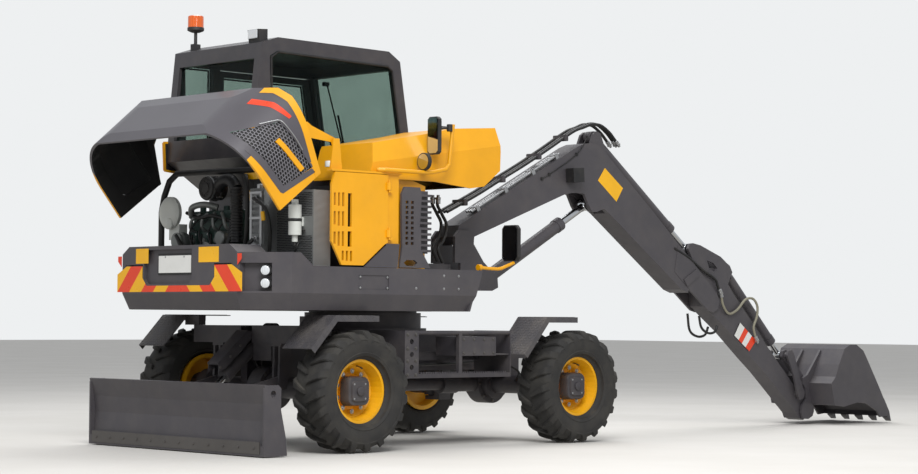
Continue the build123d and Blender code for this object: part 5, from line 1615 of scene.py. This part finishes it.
@dataclass
class HoodTrim:
    """Mesh grilles, bands and marks on the raised hood, with the bracket by it."""

    repeater: Repeater
    bracket_side: float = 0.858
    hinge: Vector = Vector((-1.22, 0.0, 2.06))
    opened: float = 50.0
    bend: float = 0.4
    start: float = -1.42
    front: float = -1.2
    straight: float = 0.22
    last: float = -1.73
    wall: float = 0.9
    cell: float = 0.0168
    cell_pitch: Span = (1.5, 1.36)
    columns: int = 24
    rows: int = 14
    above: tuple[Span, ...] = ((-1.74, 1.48), (-1.712, 1.54), (-1.6, 1.773), (-1.222, 1.773))
    below: tuple[Span, ...] = ((-1.74, 1.479), (-1.27, 1.511), (-1.222, 1.772))
    crown: tuple[Span, ...] = ((-1.82, 1.78), (-1.8, 1.9), (-1.73, 1.98), (-1.65, 1.99), (-1.146, 1.815))

    def frame(self, x: float, side: int) -> tuple[Vector, Vector]:
        """Finds the shut hood's side surface at a station.

        Args:
            x: the station.
            side: 1 left, -1 right.

        Returns:
            A point at no height and the outward direction.
        """
        back = max(self.start - x, 0.0)
        deep = math.sqrt(max(self.bend**2 - back**2, 0.0))
        outward = Vector((-back, side * deep, 0.0)) / self.bend
        return Vector((x, side * (self.wall - self.bend + deep), 0.0)), outward

    def raised(self, point: Vector) -> Vector:
        """Turns a point of the shut hood up with it, by station."""
        return Matrix.Rotation(math.radians(self.opened), 3, "Y") @ (point - self.hinge) + self.hinge

    def strip(
        self, shape: Shape, stations: list[float], low: list[float], high: list[float], side: int, off: Span
    ) -> None:
        """Lays a strip along the hood's side.

        Args:
            shape: what it is added to.
            stations: the stations that it passes.
            low: its lower edge's heights there.
            high: its upper edge's heights there.
            side: 1 left, -1 right.
            off: how far its two faces stand off the surface.
        """
        rings = []
        for x, bottom, top in zip(stations, low, high):
            point, outward = self.frame(x, side)
            corners = ((off[0], bottom), (off[1], bottom), (off[1], top), (off[0], top))
            ring = [point + outward * reach + Vector((0, 0, z)) for reach, z in corners]
            rings.append([at(*self.raised(place)) for place in ring])
        shape.skin(rings)

    def grilles(self) -> None:
        """Makes the mesh grilles that follow the hood's corners, with a dark strip behind them as painted
        shade.
        """
        painted_shade_strip, slat = Shape(), Shape()
        stations = [-1.737 + k * (1.737 - 1.226) / 26 for k in range(27)]
        spots = []
        turn = Matrix.Rotation(math.radians(self.opened), 3, "Y")
        for side in SIDES:
            # A dark strip just behind the mesh: painted shade seen through the grille.
            self.strip(
                painted_shade_strip, stations, [height(self.below, x) for x in stations],
                [height(self.above, x) for x in stations], side, (-0.014, -0.008)
            )
            for column in range(self.columns):
                run = 0.024 + column * self.cell * self.cell_pitch[0]
                angle = max(run - self.straight, 0.0) / self.bend
                x = self.front - run if run < self.straight else self.start - self.bend * math.sin(angle)
                if x < self.last:
                    continue
                point, outward = self.frame(x, side)
                up = Vector(UPWARD)
                pose = (turn @ Matrix((up.cross(outward), up, outward)).transposed()).to_euler()
                for row in range(self.rows):
                    z = 1.487 + (row + 0.5 * (column % 2)) * self.cell * self.cell_pitch[1]
                    if height(self.below, x) + 0.004 < z < height(self.above, x) - 0.004:
                        place = point + outward * -0.004 + Vector((0, 0, z))
                        spots.append(Spot(at(*self.raised(place)), tuple(pose)))
        marks = [-1.53 + k * 0.027 for k in range(11)]
        middle = [1.667 + (x + 1.53) * 0.125 for x in marks]
        self.strip(
            slat, marks, [z - 0.019 for z in middle], [z + 0.019 for z in middle], -1, (-0.006, 0.006)
        )
        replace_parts(painted_shade_strip.piece("grille_backing", SEAL, "hood"), "hood_grille")
        slat.piece("hood_slat", YELLOW, "hood")
        ring = Shape()
        rings = []
        for radius, level in ((0.0172, -0.003), (0.0172, 0.003), (0.0136, 0.003), (0.0136, -0.003)):
            rings.append([Vector((a, b * 0.78, level)) for a, b in circle(radius, 6)])
        ring.skin(rings, capped=False)
        self.repeater.piece("grille_mesh", ring, spots, GRILLE_GREY, "hood")

    def bands(self) -> None:
        """Lays the yellow band round the hood, the red marks and the trim."""
        band, red = Shape(), Shape()
        for side in SIDES:
            stations = [-1.772 + k * (1.772 - 1.152) / 30 for k in range(31)]
            tops = [height(self.crown, x) - 0.001 for x in stations]
            self.strip(band, stations, [z - 0.055 for z in tops], tops, side, (-0.002, 0.002))
            marks = [-1.775 + k * 0.0205 for k in range(11)]
            upper = [height([(-1.78, 1.80), (-1.69, 1.868), (-1.57, 1.872)], x) for x in marks]
            lower = [height([(-1.78, 1.745), (-1.69, 1.818), (-1.57, 1.846)], x) for x in marks]
            self.strip(red, marks, lower, upper, side, (-0.001, 0.0015))
        profile = [((-1.757, 1.951), 0.70), ((-1.731, 1.981), 0.752), ((-1.65, 1.9915), 0.825)]
        for (first, reach), (last, width) in zip(profile, profile[1:]):
            along = Vector((last[0] - first[0], 0.0, last[1] - first[1])).normalized()
            outward = Vector((-along.z, 0.0, along.x))
            rings = []
            for (x, z), half in ((first, reach), (last, width)):
                ends = [Vector((x, -half, z)), Vector((x, half, z))]
                ring = [*ends, *(end + outward * 0.002 for end in reversed(ends))]
                rings.append([at(*self.raised(point)) for point in ring])
            band.skin(rings)
        edge = Shape()
        marks = [-1.62 + k * 0.0182 for k in range(25)]
        lower = [height([(-1.62, 1.437), (-1.24, 1.465), (-1.183, 1.775)], x) for x in marks]
        upper = [
            height([(-1.62, 1.487), (-1.27, 1.511), (-1.222, 1.773), (-1.183, 1.78)], x) for x in marks
        ]
        for side in SIDES:
            self.strip(edge, marks, lower, upper, side, (-0.002, 0.002))
        edge.piece("grille_surround", HOOD_GREY, "hood")
        band.piece("hood_band", YELLOW, "hood")
        red.piece("hood_red_marks", RED_FILM, "hood")
        rail = Shape()
        for side in SIDES:
            path = []
            for x, z in (
                (-1.665, 1.66), (-1.625, 1.745), (-1.6, 1.784), (-1.55, 1.79), (-1.45, 1.787),
                (-1.36, 1.783)
            ):
                point, outward = self.frame(x, side)
                path.append(tuple(self.raised(point + outward * 0.003 + Vector((0, 0, z)))))
            rail.tube(path, 0.005, 10)
        rail.piece("hood_trim_line", STEEL, "hood")

    def bracket(self) -> None:
        """Makes the slotted yellow bracket between hood and cab, with a dark sheet behind its slots as
        painted shade.
        """
        bars = Shape()
        corners = ((-1.356, 2.142), (-1.221, 2.150), (-1.218, 1.929), (-1.345, 1.943))
        a, b, c, d = (Vector((x, self.bracket_side, z)) for x, z in corners)
        for first, last in ((a, b), (b, c), (c, d), (d, a)):
            bars.rod(first, last, 0.011, 4)
        for share in (0.2, 0.4, 0.6, 0.8):
            bars.rod(a.lerp(d, share), b.lerp(c, share), 0.008, 4)
        bars.piece("cab_bracket", YELLOW, "upper")
        # A dark sheet just behind the bars: painted shade seen through the slots.
        dark = Shape()
        dark.sheet([point - Vector((0.0, 0.006, 0.0)) for point in (a, b, c, d)], 0.003)
        dark.piece("cab_bracket_shade", SEAL, "upper")

    def make(self) -> None:
        """Makes all of it."""
        self.grilles()
        self.bands()
        self.bracket()


@dataclass
class SideTrim:
    """The small cap on the tank's lid."""

    cap: Point = (-0.97, -0.52, 1.93)

    def make(self) -> None:
        """Sets the cap on the tank's lid."""
        lid = Shape()
        lid.turned(self.cap, UPWARD, [(-0.004, 0.028), (0.03, 0.028), (0.036, 0.024), (0.038, 0.01)], 28)
        lid.piece("tank_cap", PALE_PLASTIC, "upper")


# ---- Cab ----


@dataclass
class Cab:
    """The cab's seat, controls, seals, wiper and mirrors."""

    middle: float = 0.37

    def cushion(self, low: Point, high: Point, crown: float, name: str) -> bpy.types.Object:
        """Makes one padded cushion with piping and sewn channels.

        Args:
            low: the block's lowest corner.
            high: its highest corner.
            crown: how far it swells upwards.
            name: the piece's name.

        Returns:
            The piece.
        """
        count, channels, groove = 28, 4, 0.006
        shape = Shape()
        rows = []
        for i in range(count + 1):
            u = i / count
            row = []
            for k in range(count + 1):
                v = k / count
                edge = (math.sin(math.pi * u) * math.sin(math.pi * v)) ** 0.3
                sewn = abs(v * channels % 1 - 0.5) > 0.44 and 0.15 < u < 0.85
                x, y = low[0] + (high[0] - low[0]) * u, low[1] + (high[1] - low[1]) * v
                row.append(at(x, y, high[2] - crown + crown * edge - (groove if sewn else 0.0)))
            rows.append(row)
        top = [[shape.mesh.verts.new(point) for point in row] for row in rows]
        for i in range(count):
            for k in range(count):
                shape.mesh.faces.new((top[i][k], top[i + 1][k], top[i + 1][k + 1], top[i][k + 1]))
        border = (
            [top[i][0] for i in range(count + 1)] + [top[count][k] for k in range(1, count + 1)]
            + [top[i][count] for i in range(count - 1, -1, -1)]
            + [top[0][k] for k in range(count - 1, 0, -1)]
        )
        middle = at((low[0] + high[0]) / 2, (low[1] + high[1]) / 2, low[2])
        rings = [border]
        for depth, inset in ((0.35, 1.015), (0.8, 1.0), (1.0, 0.93)):
            ring = []
            for vertex in border:
                point = vertex.co.lerp(Vector((vertex.co.x, vertex.co.y, low[2])), depth)
                flat = Vector((middle.x, middle.y, point.z))
                ring.append(shape.mesh.verts.new(flat + (point - flat) * inset))
            rings.append(ring)
        for upper, lower in zip(rings, rings[1:]):
            for k in range(len(upper)):
                n = (k + 1) % len(upper)
                shape.mesh.faces.new((upper[k], upper[n], lower[n], lower[k]))
        shape.mesh.faces.new(list(reversed(rings[-1])))
        return shape.piece(name, FABRIC, "upper")

    def seat(self) -> None:
        """Makes the padded seat in place of the plain one."""
        base = self.cushion((-0.78, 0.115, 1.41), (-0.285, 0.625, 1.52), 0.045, "seat_cushion")
        shape = Shape()
        rings = []
        for k in range(13):
            t = k / 12
            x, z = -0.785 - 0.115 * t, 1.515 + 0.575 * t
            half = 0.225 - 0.05 * max(0.0, t - 0.72) / 0.28
            depth = 0.055 + 0.012 * math.sin(math.pi * t) - (0.006 if k in (4, 8) else 0.0)
            squeeze = math.sin(math.pi * min(max(t, 0.03), 0.97)) ** 0.25
            ring = []
            for across, deep in circle(1.0, 24):
                across = math.copysign(abs(across) ** 0.35, across)
                deep = math.copysign(abs(deep) ** 0.5, deep)
                ring.append(
                    at(x + depth * deep * squeeze, self.middle + half * across * (0.94 + 0.06 * squeeze), z)
                )
            rings.append(ring)
        shape.skin(rings)
        back = shape.piece("seat_back", FABRIC, "upper")
        head = Shape()
        rings = []
        for k in range(7):
            t = k / 6
            depth = 0.04 * math.sin(math.pi * (0.12 + 0.76 * t))
            ring = [(depth * b, 0.12 * math.copysign(abs(a) ** 0.5, a)) for a, b in circle(1.0, 20)]
            rings.append([at(x - 0.905, self.middle + y, 2.125 + 0.13 * t) for x, y in ring])
        head.skin(rings)
        head.piece("headrest", FABRIC, "upper")

    def controls(self) -> None:
        """Makes the consoles, levers, wheel, column and pedals."""
        shape = Shape()
        grip = [(0.0, 0.018), (0.03, 0.022), (0.08, 0.026), (0.1, 0.02), (0.105, 0.01)]
        for low, high in ((0.035, 0.095), (0.645, 0.705)):
            y = (low + high) / 2
            shape.box((-0.70, -0.32), (low, high), (1.5, 1.62))
            shape.box((-0.66, -0.36), (low, high), (1.62, 1.65))
            shape.tube([(-0.37, y, 1.64), (-0.36, y, 1.70), (-0.355, y, 1.74)], 0.009, 12)
            shape.turned((-0.355, y, 1.73), (0.01, 0, 0.12), grip, 20)
        shape.box((-0.72, -0.36), (0.17, 0.57), (1.29, 1.42))
        shape.box((-0.68, -0.40), (0.22, 0.52), (1.235, 1.29))
        shape.bevelled(0.008, 2)
        shape.tube([
            (-0.16, self.middle, 1.24), (-0.14, self.middle, 1.5), (-0.2, self.middle, 1.78)
        ], 0.03, 16)
        turns = [2 * math.pi * k / 24 for k in range(25)]
        wheel = [
            (-0.2 + 0.153 * math.cos(a), self.middle + 0.17 * math.sin(a), 1.82 + 0.073 * math.cos(a))
            for a in turns
        ]
        shape.tube(wheel, 0.013, 12)
        for k in (3, 11, 19):
            shape.rod((-0.2, self.middle, 1.79), wheel[k], 0.009, 10)
        for y in (0.24, 0.33, 0.43, 0.52):
            shape.tube([(-0.14, y, 1.24), (-0.12, y, 1.34), (-0.14, y, 1.42)], 0.009, 10)
            shape.box((-0.17, -0.125), (y - 0.03, y + 0.03), (1.41, 1.418))
        shape.box((-0.13, -0.095), (0.0, 0.14), (1.92, 2.08))
        shape.rod((-0.1, 0.05, 1.92), (-0.05, 0.0, 1.75), 0.012, 12)
        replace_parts(shape.piece("cab_controls", PLASTIC, "upper"), "cab_interior")
        screen = Shape()
        screen.box((-0.132, -0.13), (0.01, 0.13), (1.935, 2.065))
        screen.piece("cab_screen", GLASS, "upper", "glass")
        hammer = Shape()
        hammer.tube([(-1.245, 0.075, 2.215), (-1.245, 0.03, 2.23), (-1.245, -0.03, 2.25)], 0.009, 12)
        hammer.rod((-1.245, -0.035, 2.215), (-1.245, -0.03, 2.285), 0.014, 12)
        hammer.piece("window_hammer", RED_FILM, "upper")

    def seal(self, outline: Outline, plane: float, radius: float, shape: Shape) -> None:
        """Runs one rubber seal round a side window.

        Args:
            outline: the window's (x, z) corners.
            plane: the pane's place across.
            radius: the seal's radius.
            shape: what it is added to.
        """
        corners = [(x, plane, z) for x, z in outline]
        for first, last in zip(corners, corners[1:] + corners[:1]):
            shape.rod(first, last, radius, 8)
        for corner in corners:
            shape.turned(corner, (0, 1, 0), [
                (-radius, radius * 0.6), (0, radius), (radius, radius * 0.6)
            ], 10)

    def seals(self) -> None:
        """Runs the seals of the side windows and the door."""
        shape = Shape()
        side = [
            (-1.170, 2.13), (-1.187, 2.69), (-1.128, 2.73), (-0.113, 2.713), (-0.068, 2.682), (0.005, 2.26),
            (0.01, 2.157), (-0.256, 2.113), (-0.775, 1.978)
        ]
        self.seal(side, -0.152, 0.0075, shape)
        self.seal([(-1.19, 2.13), (-1.205, 2.69), (-0.97, 2.69), (-0.97, 1.92)], 0.851, 0.0065, shape)
        shape.piece("window_seals", SEAL, "upper")
        door = Shape()
        self.seal([
            (-0.84, 1.51), (-0.06, 1.51), (-0.02, 1.80), (-0.03, 2.245), (-0.098, 2.64), (-0.84, 2.64)
        ], 0.851, 0.0065, door)
        door.piece("door_seal", SEAL, "cab_door")
        handle = Shape()
        handle.box((-0.19, -0.06), (0.8505, 0.858), (1.40, 1.46))
        handle.bevelled(0.003)
        handle.tube([
            (-0.175, 0.856, 1.43), (-0.17, 0.872, 1.432), (-0.09, 0.873, 1.434), (-0.08, 0.857, 1.434)
        ], 0.008, 12)
        for z in (1.4, 2.0, 2.5):
            handle.rod((-0.886, 0.848, z - 0.03), (-0.886, 0.848, z + 0.03), 0.012, 14, 0.002)
        handle.piece("door_handle", PLASTIC, "cab_door")

    def wiper(self) -> None:
        """Makes the front window's wiper."""
        shape = Shape()
        shape.rod((0.0, 0.70, 2.66), (0.045, 0.70, 2.66), 0.018, 16)
        shape.tube([(0.035, 0.70, 2.66), (0.085, 0.62, 2.3), (0.102, 0.52, 2.0)], 0.006, 10)
        shape.tube([(0.062, 0.6, 2.42), (0.087, 0.55, 2.15), (0.096, 0.50, 1.9)], 0.008, 10)
        shape.piece("wiper", PLASTIC, "upper")

    def mirrors(self) -> None:
        """Makes the mirrors' reflecting faces and their back shells."""
        tall = [
            (-0.875, 2.05), (-0.875, 2.262), (-0.893, 2.278), (-0.957, 2.278), (-0.975, 2.262),
            (-0.975, 2.05), (-0.957, 2.033), (-0.893, 2.033)
        ]
        low = [
            (-0.798, 1.34), (-0.798, 1.535), (-0.817, 1.558), (-0.923, 1.558), (-0.944, 1.535),
            (-0.944, 1.34), (-0.923, 1.316), (-0.817, 1.316)
        ]
        face = Shape()
        face.prism(tall, "x", -0.3784, -0.3806)
        face.prism(low, "x", 0.4296, 0.4274)
        face.turned((-0.4884, -0.945, 1.9686), REARWARD, [
            (0.0, 0.053), (0.002, 0.053), (0.0045, 0.03), (0.005, 0.01)
        ], 36)
        face.piece("mirror_faces", MIRROR, "upper")
        shell = Shape()
        for outline, near, far in ((tall, -0.3495, -0.338), (low, 0.4585, 0.472)):
            y, z = (sum(side) / len(outline) for side in zip(*outline))
            rings = []
            for share, x in ((1.0, near), (0.93, far - 0.003), (0.75, far)):
                rings.append([at(x, y + (a - y) * share, z + (b - z) * share) for a, b in outline])
            shell.skin(rings)
        shell.turned((-0.462, -0.945, 1.9686), FORWARD, [(0.0, 0.058), (0.006, 0.052), (0.01, 0.03)], 36)
        shell.rod((-0.36, -0.93, 2.215), (-0.23, -0.93, 2.215), 0.011, 14)
        shell.rod((-0.24, -0.945, 2.19), (-0.24, -0.945, 2.24), 0.02, 16, 0.003)
        shell.piece("mirror_shells", PLASTIC, "upper")

    def make(self) -> None:
        """Makes all of it."""
        self.seat()
        self.controls()
        self.seals()
        self.wiper()
        self.mirrors()


# ---- Boom, arm and bucket ----


@dataclass
class Front:
    """Hoses, clips, signs and the lamp's lens along the boom and arm."""

    boom_side: float = -0.236
    arm_side: float = -0.222
    middle: float = -0.135
    ridge_rows: tuple[float, ...] = (-0.062, -0.03, 0.03)
    swing_rows: Span = (-0.45, -0.415)

    def run(self, shape: Shape, points: Outline, y: float, radius: float) -> None:
        """Runs one hose in a plane.

        Args:
            shape: what it is added to.
            points: its (x, z) points.
            y: its place across.
            radius: its radius.
        """
        shape.tube([(x, y, z) for x, z in points], radius)

    def boom(self) -> None:
        """Dresses the boom: its ridge hoses, clips, sign and lamp lens."""
        ridge = Shape()
        for offset, lift in zip(self.ridge_rows, (0.0, 0.006, 0.004)):
            path = [
                (0.445, 1.683), (0.62, 1.762), (0.799, 1.845), (1.016, 1.955), (1.274, 2.082),
                (1.538, 2.222), (1.79, 2.36), (1.906, 2.401), (2.0, 2.43 + lift), (2.105, 2.43 + lift),
                (2.206, 2.383), (2.27, 2.33), (2.31, 2.295)
            ]
            self.run(ridge, path, self.middle + offset, 0.0125)
        ridge.piece("boom_hoses", HOSE, "boom")
        clips = Shape()
        for x, z in ((0.62, 1.748), (1.016, 1.94), (1.404, 2.135), (1.70, 2.295)):
            clips.box(
                (x - 0.022, x + 0.022), (self.middle - 0.082, self.middle + 0.05), (z - 0.012, z + 0.034)
            )
        clips.bevelled(0.004)
        clips.piece("boom_clips", FRAME_GREY, "boom")
        wire = Shape()
        marks = [(1.404, 1.972), (1.483, 2.009), (1.791, 2.182), (1.908, 2.321)]
        wire.tube([(x, self.boom_side - 0.004, z) for x, z in marks], 0.004, 8)
        for x, z in marks:
            wire.box(
                (x - 0.01, x + 0.01), (self.boom_side - 0.009, self.boom_side + 0.002),
                (z - 0.012, z + 0.012)
            )
        wire.piece("boom_wire", HOSE, "boom")
        sign = Shape()
        corners = ((2.118, 2.092), (2.331, 1.942), (2.255, 1.832), (2.039, 1.990))
        sign.sheet([(x, self.boom_side - 0.0005, z) for x, z in corners], 0.001)
        sign.piece("boom_sign", YELLOW_FILM, "boom")
        lens = Shape()
        lens.box((1.789, 1.7925), (-0.315, -0.253), (1.968, 2.06))
        lens.bevelled(0.001, 1)
        lens.piece("boom_lamp_lens", WHITE_LENS, "boom", "trim_plastic")
        fittings = Shape()
        for offset in self.ridge_rows:
            y = self.middle + offset
            fittings.fitting((2.305, y, 2.299), (2.36, y, 2.249), 0.0125)
        fittings.piece("boom_fittings", STEEL, "boom")

    def swing(self) -> None:
        """Runs the loose hoses beside the swing post."""
        shape = Shape()
        route = [
            (0.118, 1.752), (0.112, 1.71), (0.159, 1.642), (0.202, 1.569), (0.177, 1.468), (0.119, 1.392),
            (0.165, 1.30)
        ]
        for k, y in enumerate(self.swing_rows):
            self.run(shape, [(x - 0.02 * k, z + 0.01 * k) for x, z in route], y, 0.012)
        shape.piece("swing_hoses", HOSE, "upper")
        ends = Shape()
        for x, y in zip((0.118, 0.098), self.swing_rows):
            ends.fitting((x, y, 1.75), (x, y, 1.8), 0.013)
        ends.piece("swing_fittings", STEEL, "upper")

    def arm(self) -> None:
        """Dresses the arm with its hoses, reflector and fittings."""
        dark = Shape()
        self.run(dark, [
            (2.96, 1.48), (3.135, 1.409), (3.303, 1.317), (3.474, 1.238), (3.51, 1.183), (3.56, 1.09)
        ], self.arm_side - 0.012, 0.011)
        self.run(dark, [
            (3.311, 0.93), (3.343, 0.835), (3.428, 0.79), (3.514, 0.80), (3.545, 0.85)
        ], self.middle - 0.065, 0.0105)
        self.run(dark, [
            (3.30, 0.95), (3.33, 0.81), (3.43, 0.76), (3.525, 0.775), (3.565, 0.84)
        ], self.middle + 0.05, 0.0105)
        dark.piece("arm_hoses", HOSE, "arm")
        pale = Shape()
        self.run(pale, [
            (3.555, 1.112), (3.577, 1.025), (3.653, 0.953), (3.762, 0.985), (3.871, 1.071), (3.97, 1.08),
            (4.03, 1.02), (4.025, 0.93), (3.983, 0.847), (3.994, 0.787), (4.03, 0.72)
        ], self.arm_side - 0.014, 0.0105)
        pale.piece("arm_pale_hose", PALE_HOSE, "arm")
        ends = Shape()
        ends.fitting((3.545, self.arm_side - 0.013, 1.13), (3.575, self.arm_side - 0.014, 1.07), 0.013)
        ends.fitting((3.548, self.arm_side - 0.013, 1.115), (3.53, self.arm_side - 0.013, 1.15), 0.013)
        ends.fitting((4.02, self.arm_side - 0.014, 0.735), (4.045, self.arm_side - 0.014, 0.69), 0.013)
        ends.piece("arm_fittings", STEEL, "arm")
        corners = ((3.822, 0.877), (4.033, 0.727), (3.944, 0.636), (3.746, 0.769))
        a, b, c, d = (Vector((x, self.arm_side + 0.001, z)) for x, z in corners)
        bands = {WHITE_FILM: Shape(), RED_FILM: Shape()}
        edges = [0.0, 0.28, 0.5, 0.74, 1.0]
        for k, (low, high) in enumerate(zip(edges, edges[1:])):
            points = [a.lerp(b, low), a.lerp(b, high), d.lerp(c, high), d.lerp(c, low)]
            bands[(WHITE_FILM, RED_FILM)[k % 2]].sheet(points, 0.001)
        for finish, shape in bands.items():
            shape.piece(f"arm_reflector_{finish.name.split('_')[0]}", finish, "arm")

    def make(self) -> None:
        """Makes all of it."""
        self.boom()
        self.swing()
        self.arm()


# ---- Scene ----


def paint(item: bpy.types.Object, finish: Coating) -> None:
    """Leaves an object with one finish."""
    item.data.materials.clear()
    item.data.materials.append(finish.material())


def dress_frame() -> None:
    """Gives every fixed node its finish."""
    for finish, names in NODE_FINISHES.items():
        for name in names:
            paint(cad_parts[name], finish)
    for name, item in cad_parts.items():
        kind = name.split("_")[0]
        if kind in ("tyre", "rim"):
            paint(item, RUBBER if kind == "tyre" else RIM_YELLOW)
    LOG.info("%d nodes dressed", len(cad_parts))


def main() -> None:
    """Builds the looks in order."""
    logging.basicConfig(level=logging.INFO, format="%(message)s")
    Studio().make()
    dress_frame()
    repeater = Repeater()
    for axle, station in (("front", AXLE_STATION), ("rear", -AXLE_STATION)):
        for side, sign in (("left", 1), ("right", -1)):
            Wheel(f"{axle}_{side}", station, sign, repeater).make()
    Undercarriage(repeater).make()
    Rear(repeater).make()
    EngineBay(repeater).make()
    HoodTrim(repeater).make()
    SideTrim().make()
    Cab().make()
    Front().make()


if __name__ == "__main__":
    main()
